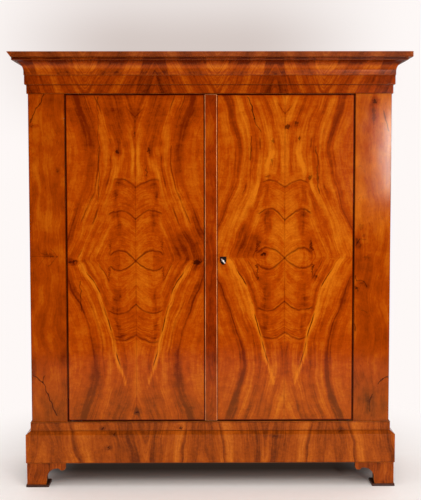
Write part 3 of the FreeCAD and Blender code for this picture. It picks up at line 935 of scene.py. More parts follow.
class CrotchFigure:
    """Figure of four leaves cut at a fork of the tree and matched about a centre and a joint.

    With u and v the distances from the centre and the joint, the outer streaks follow lines of
    equal s = u - k root((v - v0)^2 + c^2), which are hyperbolas, the golden streak in the lower
    half follows the straight line d = u + k v, and the scallops in the middle follow lines of
    equal r = v - a sin(pi u / b).
    """

    def __init__(self, sizes: CrotchSizes) -> None:
        """Start the group and work out the coordinates that its parts share.

        Args:
            sizes: the figure's measures.
        """
        self.sizes = sizes
        self.effect = Effect(
            "matched crotch figure",
            {"X": 0.0, "Z": 0.0, "Centre": 0.0, "Joint": 1026.0, "Shift": 0.0, "Seed": 0.0},
            {"Tone": VALUE, "Line": VALUE, "Across": VALUE, "Along": VALUE})
        self.graph, given = self.effect.graph, self.effect.inputs
        self.seed = given["Seed"]
        self.x, self.z = given["X"] - given["Centre"], given["Z"] - given["Joint"]
        x, z = abs(self.x), abs(self.z)
        self.shiver = self.swing(self.x / 26.0, self.z / 50.0, 6.0)
        sway = self.swing(self.x / 150.0, self.z / 190.0, 0.0, 1.0)
        lift = self.swing(self.x / 130.0, self.z / 150.0, 3.0, 1.0)
        self.u = x + sway * 16.0 * x.step(0.0, 60.0) + self.shiver * 4.0
        self.v = z + lift * 16.0 * z.step(0.0, 80.0) + self.shiver * 3.0
        self.lower = self.z.step(20.0, -20.0)
        off = self.v - sizes.neck
        bent = (off * off + sizes.bend ** 2).root() - sizes.bend
        self.s = self.u - bent * sizes.slope + self.lower * 15.0
        gold = x + sway * 9.0 + self.shiver * 2.0 - sizes.gold_foot + z * sizes.gold_lean
        self.d = gold - self.v.step(160.0, 0.0) * 45.0 + self.v.step(380.0, 580.0) * 8.0
        rise = sizes.scallop_rise - self.v.step(220.0, 330.0) * 15.0
        arch = (self.u.least(sizes.scallop_end) * (math.pi / sizes.scallop_run)).sine() * rise
        shift = given["Shift"] * (1.0 - self.lower) * self.v.step(60.0, 150.0)
        self.r = self.v - arch + shift + self.shiver * 4.0
        self.patchy = self.graph.noise((self.s / 45.0, self.v / 120.0, self.seed + 37.0), 2.0)
        self.streak = self.swing(self.s / 8.0, self.v / 260.0, 31.0, 4.0, 0.65)
        self.curl = self.swing(self.r / 8.0, self.u / 60.0, 41.0)
        self.fold = self.swing(self.r / 60.0, self.u / 50.0, 43.0)

    def swing(self, first: Signal, second: Signal, offset: float, detail: float = 2.0,
              roughness: float = 0.5) -> Signal:
        """Noise from about -0.5 to 0.5.

        Args:
            first: first coordinate, in wavelengths.
            second: second coordinate, in wavelengths.
            offset: what is added to the figure's seed.
            detail: octaves of detail.
            roughness: how much of the detail shows.

        Returns:
            The noise.
        """
        return self.graph.noise((first, second, self.seed + offset), detail, roughness) - 0.5

    def outer(self) -> Signal:
        """Tone of the outer streaks, calmer outside a dark band.

        Returns:
            The tone.
        """
        s, v, lower = self.s, self.v, self.lower
        broad = self.swing(s / 40.0, v / 420.0, 20.0)
        calm = 1.0 - s.step(205.0, 240.0) * 0.5
        ends = (v + lower * 110.0).step(430.0, 620.0)
        waist = v.step(60.0, 130.0) * v.step(560.0, 400.0)
        band = s.peak(205.0, 30.0) * (0.2 + ends * 0.22)
        band = band + s.peak(203.0, 7.0) * waist * (0.12 + lower * 0.14)
        return 0.5 + (broad * 0.57 + self.streak * (0.14 + self.patchy * 0.42)) * calm - band

    def golden(self) -> Signal:
        """Tone that the golden streak adds, with a dark line along its inner edge.

        Returns:
            The tone.
        """
        d, v, lower = self.d, self.v, self.lower
        width = v.step(150.0, 0.0) * 20.0 + 27.0 - v.step(400.0, 600.0) * 10.0
        flame = (d / width).peak(0.42, 0.62) * v.step(610.0, 530.0) * (0.12 + lower * 0.38)
        flame = flame * (0.85 + self.streak * 1.3)
        return flame - d.peak(-10.0, 9.0) * lower * v.step(520.0, 440.0) * 0.12

    def veins(self) -> Signal:
        """Thin dark lines along the streaks.

        Returns:
            Their mask.
        """
        s, v, lower, patchy = self.s, self.v, self.lower, self.patchy
        crack = self.d.peak(6.0, 4.5) * v.step(30.0, 80.0) * v.step(520.0, 440.0)
        crack = crack * patchy.step(0.35, 0.6)
        vein = s.peak(160.0, 6.0) * patchy.step(0.45, 0.75) * (0.6 - lower * 0.3)
        thread = s.peak(112.0, 6.0) * patchy.step(0.5, 0.2) * (0.7 - lower * 0.4)
        hook = (self.u + v * 0.55).peak(172.0, 5.0) * v.step(6.0, 22.0) * v.step(112.0, 86.0)
        return crack * (0.12 + lower * 0.9) + vein + thread + hook * lower * 0.55

    def column(self) -> Signal:
        """Tone of the folds between the scallops, with dark bars at both sides.

        Returns:
            The tone.
        """
        u, v, r = self.u, self.v, self.r
        blot = self.graph.noise((u / 24.0, v / 150.0, self.seed + 47.0), 2.0).step(0.4, 0.9)
        blot = blot * u.peak(86.0, 42.0)
        shade = r.peak(317.0, 26.0) * 0.12 + r.peak(176.0, 26.0) * 0.1 - r.peak(212.0, 24.0) * 0.08
        ripple = 0.24 + self.lower * r.peak(345.0, 120.0) * 0.3
        bar = (u + self.shiver * 16.0).peak(84.0, 20.0)
        bar = bar * (r.peak(275.0, 72.0) + r.peak(120.0, 80.0)) * (0.16 + self.patchy * 0.14)
        light = u.step(95.0, 35.0) * r.step(215.0, 170.0) * 0.1
        folds = self.curl * ripple + self.fold * 0.3
        return 0.5 + light + folds - blot * 0.2 - bar - shade * 1.3

    def scalloped(self) -> Signal:
        """Dark lines of the scallops, with the tails that hang from the joint.

        Returns:
            Their mask.
        """
        u, v, d = self.u, self.v, self.d
        total: Number = 0.0
        for height, strength in self.sizes.scallops:
            total = self.r.peak(height, self.sizes.scallop_line) * strength + total
        total = total * u.step(128.0, 112.0) * d.step(8.0, -8.0) * (0.75 + self.fold * 0.6)
        tail = (u + self.curl * 20.0).peak(121.0, 6.5) * v.step(20.0, 32.0) * v.step(104.0, 66.0)
        return total.most(tail * (0.35 + self.patchy * 0.8))

    def spears(self) -> Signal:
        """Light tips above the uppermost scallop.

        Returns:
            The tone.
        """
        u, v = self.u, self.v
        spear = (u + v * 0.315 - 208.0).peak(0.0, 20.0) * v.peak(420.0, 100.0) * 0.5
        spear = spear + u.peak(11.0, 16.0) * v.peak(440.0, 130.0) * 0.3
        above = (1.0 - self.lower) * self.r.step(330.0, 344.0)
        return spear * above * (0.65 + self.patchy * 0.6)

    def make(self) -> NodeTree:
        """Put the parts together.

        Returns:
            The node group.
        """
        x, z, u, v = self.x, self.z, self.u, self.v
        inside = u.step(130.0, 100.0).least(self.d.step(0.0, -14.0)) * v.step(415.0, 350.0)
        flow = self.outer() + self.golden()
        tone = flow + (self.column() - flow) * inside + self.spears()
        cross = self.swing(x / 60.0, z / 8.0, 52.0, 3.0, 0.6)
        mottle = self.swing(x / 11.0, z / 9.0, 60.0, 2.0, 0.6)
        cloudy = self.swing(x / 42.0, z / 34.0, 64.0, 3.0, 0.6)
        tone = tone + cross * (0.04 + self.patchy * 0.09)
        tone = tone + mottle * 0.13 + cloudy * (0.22 - inside * 0.1)
        upper = 1.0 - self.lower
        # A lighter band near the upper end; both ends darken towards the rails as painted shade.
        tone = tone + v.step(685.0, 691.0) * upper * 0.07 - v.step(560.0, 735.0) * 0.07
        tone = tone + x.step(-6.0, 6.0) * inside * 0.05
        seam = abs(x).peak(0.0, 2.8) * (0.2 + self.patchy * 0.4) + abs(z).peak(0.0, 2.2) * 0.25
        chevron = (v - u * 1.1).peak(650.0, 6.0) * u.step(42.0, 26.0) * upper * 0.5
        line = self.veins() * (1.0 - inside * 0.9) + self.scalloped() + seam + chevron
        return self.effect.put(Tone=tone.clamped(), Line=line.clamped(), Across=self.s, Along=v)


@dataclass(frozen=True)
class Effects:
    """The node groups that the finishes share."""

    grain: NodeTree
    polish: NodeTree
    crotch: NodeTree


@dataclass(frozen=True)
class Spot:
    """A knot or stain, in millimetres: its middle, half sizes and strength."""

    x: float
    z: float
    half_width: float
    half_height: float
    strength: float


@dataclass(frozen=True)
class Crack:
    """A thin crack from one point to another, in millimetres."""

    x: float
    z: float
    to_x: float
    to_z: float
    width: float = 3.4
    strength: float = 0.7


def new_material(name: str) -> Tuple[Material, Graph, Node]:
    """Make an empty material with a shader.

    Args:
        name: its name.

    Returns:
        The material, its graph and its shader node.
    """
    made = bpy.data.materials.new(name)
    made.use_nodes = True
    graph = Graph(made.node_tree)
    shader = made.node_tree.nodes["Principled BSDF"]
    return made, graph, shader


def stained(graph: Graph, x: Signal, z: Signal, spots: Sequence[Spot],
            cracks: Sequence[Crack]) -> Tuple[Signal, Number]:
    """Knots and stains with ragged edges and soft halos, and cracks that wander.

    Args:
        graph: the material's graph.
        x: first coordinate.
        z: second coordinate.
        spots: the knots and stains.
        cracks: the cracks.

    Returns:
        Their mask, and the halos.
    """
    ragged_x = x + (graph.noise((x / 9.0, z / 12.0, 3.0), 2.0) - 0.5) * 12.0
    ragged_z = z + (graph.noise((x / 9.0, z / 12.0, 8.0), 2.0) - 0.5) * 14.0
    bent_x = x + (graph.noise((x / 45.0, z / 60.0, 5.0), 2.0) - 0.5) * 14.0
    bent_z = z + (graph.noise((x / 45.0, z / 60.0, 2.0), 2.0) - 0.5) * 14.0
    total: Number = 0.0
    halo: Number = 0.0
    for item in spots:
        size = (item.half_width * SPOT_SPREAD, item.half_height * SPOT_SPREAD)
        spot = graph.spot(ragged_x, ragged_z, (item.x, item.z), size, SPOT_EDGE)
        total = spot * item.strength + total
        wide = (size[0] * HALO_SPREAD, size[1] * HALO_SPREAD)
        halo = graph.spot(bent_x, bent_z, (item.x, item.z), wide) * item.strength + halo
    for item in cracks:
        run, rise = item.to_x - item.x, item.to_z - item.z
        across, up = bent_x - item.x, bent_z - item.z
        square = run ** 2 + rise ** 2
        share = (across * (run / square) + up * (rise / square)).clamped()
        across, up = across - share * run, up - share * rise
        total = (across * across + up * up).step(item.width ** 2, 0.0) * item.strength + total
    return total.clamped(), halo


@dataclass(frozen=True)
class Shade:
    """What is added to a post's tone: painted shade under the cornice, painted light over its upper
    part, and darkening in its lower part and above the base.
    """

    under: float = -0.18
    upper: float = 0.0
    lower: float = -0.14
    foot: float = 0.0


@dataclass(frozen=True)
class VeneerFinish:
    """What all polished veneers share: the colours and the polish over a figure.

    A jamb is the X of the open joint beside a post, where a painted shade line darkens its edge, or
    0 for none.
    """

    name: str
    effects: Effects
    seed: float = 0.0
    palette: Palette = Palette()
    spots: Tuple[Spot, ...] = ()
    cracks: Tuple[Crack, ...] = ()
    streaks: float = 0.3
    specks: float = 0.4
    jamb: float = 0.0
    wear: float = 1.0
    clouds: float = 0.5
    dull: float = 0.0
    shade: Shade = Shade()

    def figure(self, graph: Graph, x: Signal, y: Signal, z: Signal) -> Figure:
        """Plain upright figure that sways a little.

        Args:
            graph: the material's graph.
            x: coordinate across the front.
            y: coordinate into the depth.
            z: height.

        Returns:
            Tone, lines and pores.
        """
        sway = graph.noise((x / 190.0, y / 190.0, z / 260.0 + self.seed), 2.0) - 0.5
        grain = graph.group(
            self.effects.grain, Across=x + y + sway * 60.0, Along=z + sway * 30.0, Seed=self.seed)
        curl = graph.noise((x / 60.0, y / 60.0, z / 95.0 + self.seed), 3.0, 0.55) - 0.5
        mottle = graph.noise((x / 10.0, y / 10.0, z / 12.0 + self.seed), 2.0, 0.6) - 0.5
        speck = graph.noise((x / 7.0, y / 7.0, z / 16.0 - self.seed), 1.0).step(0.9, 1.0)
        tone = 0.5 + (grain["Broad"] - 0.5) * 0.3 + (grain["Streak"] - 0.5) * self.streaks
        tone = tone + curl * self.clouds + mottle * 0.11
        # Painted shade under the cornice and painted light over the upper part; darker lower down
        # and above the base.
        shade = self.shade
        tone = tone + z.step(*UNDER_CORNICE) * shade.under + z.step(*LOWER_PART) * shade.lower
        tone = tone + z.step(*UPPER_PART) * shade.upper + z.step(*ABOVE_BASE) * shade.foot
        line = (grain["Streak"].step(0.14, 0.0) * self.streaks).most(speck * self.specks)
        if self.jamb:
            # Painted shade at the open joint beside the door, and a darker line along the outer
            # arris at the front.
            outer = (abs(x) - POST_ARRIS[0]).step(0.0, 5.0) * (y - POST_ARRIS[1]).step(0.0, -4.0)
            line = line.most(abs(x - self.jamb).step(5.0, 2.0) * 0.9).most(outer * 0.45)
        return tone, line, grain["Pore"]

    def make(self) -> Material:
        """Build the material.

        Returns:
            The material.
        """
        made, graph, shader = new_material(self.name)
        x, y, z = graph.place()
        tone, line, pore = self.figure(graph, x, y, z)
        knot: Number = 0.0
        if self.spots or self.cracks:
            knot, halo = stained(graph, x, z, self.spots, self.cracks)
            tone = tone - halo * HALO_DEPTH
        polish = graph.group(
            self.effects.polish, Tone=tone, Line=line, Knot=knot, Pore=pore, Arris=graph.arris(),
            Wear=self.wear, Dull=self.dull, X=x, Y=y, Z=z, **self.palette.inputs())
        graph.fill(
            shader, Base_Color=polish["Colour"], Roughness=polish["Roughness"],
            Specular_IOR_Level=0.10, Specular_Tint=SHELLAC_GLOSS)
        graph.bump(shader, polish["Height"], strength=0.35, distance=0.0012)
        return made


@dataclass(frozen=True)
class DoorFinish(VeneerFinish):
    """Four matched crotch leaves over one door field, with a dusky patch over the joint."""

    centre: float = 0.0
    joint: float = 1026.0
    shift: float = 5.0
    lift: float = 0.0
    dusk: Tuple[float, float] = (-110.0, 1092.0)
    field: Tuple[float, float] = (-643.0, -25.75)
    ends: Tuple[float, float] = (300.0, 1768.0)

    def figure(self, graph: Graph, x: Signal, y: Signal, z: Signal) -> Figure:
        """Matched crotch figure, with fine grain along its streaks, a painted cornice shadow at its
        top and painted shade along its edges.

        Args:
            graph: the material's graph.
            x: coordinate across the front.
            y: coordinate into the depth; not used here.
            z: height.

        Returns:
            Tone, lines and pores.
        """
        crotch = graph.group(
            self.effects.crotch, X=x, Z=z, Centre=self.centre, Joint=self.joint, Shift=self.shift,
            Seed=self.seed)
        grain = graph.group(
            self.effects.grain, Across=crotch["Across"], Along=crotch["Along"], Seed=self.seed)
        tone = crotch["Tone"] + z.step(900.0, 1150.0) * self.lift + (grain["Streak"] - 0.5) * 0.06
        # Painted shadow of the cornice over the top of the door.
        tone = tone - z.step(1738.0, 1768.0) * 0.16
        dusk = graph.spot(x, z, self.dusk, (95.0, 105.0)) * z.step(self.joint, self.joint + 4.0)
        tone = tone - dusk * 0.36
        # Painted shade along the field's edges, beside the gaps round the door.
        across = (x - self.field[0]).least(self.field[1] - x)
        edge = across.least((z - self.ends[0]).least(self.ends[1] - z)).step(5.0, 2.0)
        return tone, crotch["Line"].most(edge * 0.95), grain["Pore"]


@dataclass(frozen=True)
class BandedFinish(VeneerFinish):
    """Short leaves set side by side across a moulding, each turned over against the last."""

    run: Run = Run.FRONT
    turns: Tuple[float, ...] = ()
    lean: float = 0.8
    leaf: float = 280.0
    contrast: float = 1.0
    depth: float = 0.56
    sway: float = 14.0
    legs: float = 0.0
    tulip: float = 0.0
    vein: float = 0.4
    spacing: float = 15.0
    # Heights of dark lines where mouldings meet and in their hollows, partly painted shade.
    seams: Tuple[float, ...] = ()
    # Height, width and amount of each band of painted shade (below 0) and painted light (above 0).
    bands: Tuple[Tuple[float, float, float], ...] = ()

    def at_side(self, name: str, seed: float) -> "BandedFinish":
        """The same finish for a run along a side, with a name and a seed of its own."""
        return replace(self, name=name, seed=seed, run=Run.SIDE, turns=SIDE_TURNS, spots=())

    def turned_over(self, graph: Graph, along: Signal) -> Signal:
        """Ramp from 1 at an A to 0 at a V and back, starting at an A.

        Args:
            graph: the material's graph.
            along: coordinate along the run.

        Returns:
            The ramp.
        """
        ramp = graph.node("ShaderNodeValToRGB")
        ramp.color_ramp.interpolation = "LINEAR"
        stops = ramp.color_ramp.elements
        for index, turn in enumerate(self.turns):
            share = (turn / TO_MM + RAMP_REACH) / (2 * RAMP_REACH)
            stop = stops[index] if index < 2 else stops.new(share)
            stop.position = share
        for index, stop in enumerate(sorted(stops, key=lambda item: item.position)):
            shade = float((index + 1) % 2)
            stop.color = (shade, shade, shade, 1.0)
        graph.feed(ramp.inputs[0], (along / TO_MM + RAMP_REACH) / (2 * RAMP_REACH))
        return Signal(graph, ramp.outputs[0])

    def figure(self, graph: Graph, x: Signal, y: Signal, z: Signal) -> Figure:
        """Streaks that lean towards each turning line, where they meet in a V or an A.

        They follow lines of equal distance from the V less lean times height. Two dark legs spread
        from an A, and a tulip opens above a V.

        Args:
            graph: the material's graph.
            x: coordinate across the front.
            y: coordinate into the depth.
            z: height.

        Returns:
            Tone, lines and pores.
        """
        along = x if self.run is Run.FRONT else y
        sway = graph.noise((along / 120.0, z / 160.0, self.seed), 2.0) - 0.5
        from_v = self.turned_over(graph, along) * self.leaf
        from_a = self.leaf - from_v
        across = from_v - z * self.lean + sway * self.sway
        grain = graph.group(self.effects.grain, Across=across, Along=z * 2.0, Seed=self.seed)
        broad = graph.noise((across / 46.0, z / 700.0, self.seed + 4.0), 2.0) - 0.5
        fine = graph.noise((across / 6.0, z / 160.0, self.seed + 9.0), 3.0, 0.6)
        dark = graph.noise((across / self.spacing, z / 500.0, self.seed + 2.0), 2.0)
        thin = graph.noise((across / 7.0, z / 260.0, self.seed + 6.0), 1.0).step(0.25, 0.0)
        dark = dark.step(0.32, 0.02) + thin * self.vein * 1.25
        mottle = graph.noise((along / 12.0, y / 12.0, z / 10.0 + self.seed), 3.0, 0.6) - 0.5
        streaks = broad * self.depth + (fine - 0.5) * 0.36 - dark * 0.28
        tone = 0.52 + streaks * self.contrast + mottle * 0.22
        if self.legs:
            # A leg stands between two lines that lean, and a chevron closes the V.
            outer = 450.0 - z * 0.21 + sway * 10.0
            inner = 558.0 - z * 0.3
            leg = (outer - from_a).step(-5.0, 5.0) * (from_a - inner).step(-6.0, 6.0)
            chevron = (from_v - z * 0.8 + sway * 12.0).peak(-1412.0, 17.0)
            tone = tone - leg * self.legs - chevron * self.legs * 0.5
        if self.tulip:
            petal = from_v - 14.0 - z.step(1856.0, 1892.0) * 36.0 + sway * 14.0
            tone = tone + (petal.step(5.0, -6.0) - petal.peak(9.0, 10.0) * 0.6) * self.tulip
        line = fine.step(0.14, 0.0) * self.vein
        # Bands of painted shade and light along the run.
        for height, width, amount in self.bands:
            tone = tone + z.peak(height, width) * amount
        # Dark lines at joints and in hollows: real joints and painted shade.
        for seam in self.seams:
            line = line.most(z.peak(seam, 3.6) * 0.8)
        return tone, line, grain["Pore"]


@dataclass(frozen=True)
class SoftwoodFinish:
    """Bare old softwood, with its grain along one axis and a tone of its own for each board."""

    name: str
    grain: Grain
    pale: Tint = Tint(194, 140, 88)
    dark: Tint = Tint(128, 80, 44)
    board: float = 197.0
    first_board: float = -788.0
    ring: float = 22.0
    fibre: float = 900.0
    gap: Tint = Tint(40, 24, 14)

    def make(self) -> Material:
        """Build the material: year rings drawn out along the grain, a tone for each board, dust.

        Returns:
            The material.
        """
        made, graph, shader = new_material(self.name)
        place = graph.place()
        wave = [self.ring] * 3
        wave[self.grain.value] = self.fibre
        sway = graph.noise([axis / 260.0 for axis in place], 1.0) - 0.5
        drawn = [axis / length + sway * 1.2 for axis, length in zip(place, wave)]
        rings = graph.noise(drawn, 3.0, 0.6)
        fibre = graph.noise([axis / (length / 16.0) for axis, length in zip(place, wave)], 2.0, 0.6)
        spot = (place[0] - self.first_board) / self.board
        number = graph.math("FLOOR", spot)
        tone = graph.noise((number * 3.7 + 0.5, 0.5, 0.5), 0.0)
        dirt = graph.noise([axis / 130.0 for axis in place], 3.0, 0.6)
        share = rings * 0.55 + fibre * 0.25 + tone * 0.3 - dirt * 0.2
        colour = graph.mix(share.step(0.15, 0.85), self.dark, self.pale)
        if self.grain is Grain.UPRIGHT:
            joint = abs(spot - number - 0.5).step(0.48, 0.495)
            colour = graph.mix(joint * 0.75, colour, self.gap)
        graph.fill(
            shader, Base_Color=colour, Roughness=0.62 + fibre * 0.16 + dirt * 0.1,
            Specular_IOR_Level=0.25)
        graph.bump(shader, rings * 0.5 + fibre * 0.5, strength=0.4, distance=0.0006)
        return made


@dataclass(frozen=True)
class DarkWoodFinish:
    """Wood stained black and polished, rubbed brown on its arrises."""

    name: str
    black: Tint = Tint(38, 18, 12)
    rubbed: Tint = Tint(92, 42, 22)
    gloss: float = 0.35

    def make(self) -> Material:
        """Build the material: streaks of stain, rubbed arrises and a dusty bloom.

        Returns:
            The material.
        """
        made, graph, shader = new_material(self.name)
        x, y, z = graph.place()
        streak = graph.noise((x / 14.0, y / 14.0, z / 4.0), 3.0, 0.6)
        bloom = graph.noise((x / 40.0, y / 40.0, z / 40.0), 3.0, 0.6)
        share = streak * 0.35 + graph.arris().step(0.1, 0.9) * 0.4 + bloom.step(0.5, 1.0) * 0.2
        graph.fill(
            shader, Base_Color=graph.mix(share, self.black, self.rubbed),
            Roughness=0.34 + bloom * 0.22, Specular_IOR_Level=self.gloss)
        return made


@dataclass(frozen=True)
class MetalFinish:
    """Worked metal, bright or oiled, with stains."""

    name: str
    bright: Tint
    stain: Tint
    roughness: float
    stained: float
    metal: float = 1.0

    def make(self) -> Material:
        """Build the material: file marks, stains that dull it, and small pits.

        Returns:
            The material.
        """
        made, graph, shader = new_material(self.name)
        x, y, z = graph.place()
        cloud = graph.noise((x / 9.0, y / 9.0, z / 9.0), 3.0, 0.6)
        filed = graph.noise((x / 0.7, y / 5.0, z / 0.7), 2.0, 0.6)
        spread = cloud.step(1.0 - self.stained, 1.0)
        colour = graph.mix(spread * 0.8 + filed * 0.15, self.bright, self.stain)
        graph.fill(
            shader, Base_Color=colour, Metallic=self.metal - spread * 0.45,
            Roughness=self.roughness + spread * 0.3 + filed * 0.08)
        graph.bump(shader, filed * 0.4 - spread, strength=0.3, distance=0.0002)
        return made


# Sub-assemblies

@dataclass
class Cornice:
    """Slab, cove and stepped frieze around the top."""

    slab_face: Material
    slab_top: Material
    cove_front: Material
    cove_side: Material
    frieze_front: Material
    frieze_side: Material
    corner: float = 0.0014
    lower_fascia: float = 0.0055
    upper_fascia: float = 0.0135
    frieze_depth: float = 0.036
    inner: float = 0.022
    ledge: float = 0.008
    reveal: float = 0.0004
    lip: Tuple[float, float] = (0.002, 0.0016)
    cove_foot: float = 0.0155
    cove_head: float = 0.058
    cove_fillet: float = 0.061
    slab_reach: float = 0.079
    cove_steps: int = 14
    keeper: Tuple[float, float] = (-0.0745, -0.0570)

    def frieze_section(self, ledged: bool) -> Points:
        """Two fasciae, one stepped over the other, with or without the ledge for the top board.

        Args:
            ledged: whether it has the ledge.

        Returns:
            Projection and height of each point.
        """
        under, over = PLANES.head + self.reveal, PLANES.head + self.ledge
        corners = [
            [-self.lip[0], under], [-self.lip[1], PLANES.head], [self.lower_fascia, PLANES.head],
            [self.lower_fascia, PLANES.step], [self.upper_fascia, PLANES.step],
            [self.upper_fascia, PLANES.cove], [-self.inner, PLANES.cove]]
        radii = [0, 0, 0.001, 0.0015, 0.001, 0.0008, 0]
        if ledged:
            depth = -self.frieze_depth
            corners += [[-self.inner, over], [depth, over], [depth, under]]
            radii += [0, 0, 0]
        else:
            corners.append([-self.inner, under])
            radii.append(0)
        return soft_outline(np.array(corners), radii)

    def cove_section(self) -> Points:
        """Foot, quarter-oval hollow and fillet.

        The hollow's points are head - (head - foot) cos(a) out and spring + rise sin(a) up.

        Returns:
            Projection and height of each point.
        """
        turn = np.linspace(0.0, math.pi / 2, self.cove_steps + 1)
        rise = PLANES.fillet - PLANES.spring
        hollow = np.stack([
            self.cove_head - (self.cove_head - self.cove_foot) * np.cos(turn),
            PLANES.spring + rise * np.sin(turn)], axis=1)
        corners = np.concatenate([
            [[-self.inner, PLANES.cove], [self.cove_foot, PLANES.cove]],
            hollow,
            [[self.cove_fillet, PLANES.fillet], [self.cove_fillet, PLANES.slab],
             [-self.inner, PLANES.slab]]])
        radii = [0, 0.0008] + [0] * len(hollow) + [0.001, 0.0008, 0.0]
        return soft_outline(corners, radii)

    def slab(self) -> Points:
        """Board with an undercut left end and a square right end.

        Returns:
            Rings of points from front to back.
        """
        reach = PLANES.half_width + self.slab_reach
        corners = np.array([
            [-reach, PLANES.top], [reach, PLANES.top],
            [reach, PLANES.slab], [-PLANES.half_width - self.cove_fillet, PLANES.slab]])
        outline = soft_outline(corners, [0.001, 0.0016, 0.0016, 0.0015])
        front = PLANES.front - self.slab_reach
        return soft_plate(
            outline, (front, PLANES.back), (0.0008, 0.0006),
            lambda flat, level: np.stack([flat[..., 0], level, flat[..., 1]], axis=-1))

    def ledges(self) -> List[Points]:
        """Two ledges under the top board, with a gap for the upper bolt's slot.

        Returns:
            Rings of points along each.
        """
        near, far = PLANES.front + self.inner, PLANES.front + self.frieze_depth
        under, over = PLANES.head + self.reveal, PLANES.head + self.ledge
        end = PLANES.half_width - self.inner
        return [
            soft_block((low, near, under), (high, far, over), 0.0008, 0.0004, 0)
            for low, high in ((-end, self.keeper[0]), (self.keeper[1], end))]

    def build(self) -> None:
        """Make the pieces."""
        cove = self.cove_section()
        frieze = [front_run(self.frieze_section(False), self.corner)] + self.ledges()
        Piece("frieze_front_face", [Shell(rings) for rings in frieze], "frieze_front",
              self.frieze_front).make()
        Piece("cove_front_face", [Shell(front_run(cove, self.corner))], "cove_front",
              self.cove_front).make()
        runs = (("frieze", self.frieze_section(True), self.frieze_side),
                ("cove", cove, self.cove_side))
        for side in Side:
            for kind, section, face in runs:
                node = f"{kind}_{side.name.lower()}"
                Piece(f"{node}_face", [Shell(side_run(section, self.corner, side))], node, face,
                      self.slab_top).make()
        Piece("cornice_slab_board", [Shell(self.slab())], "cornice_slab", self.slab_face,
              self.slab_top, UPWARD).make()


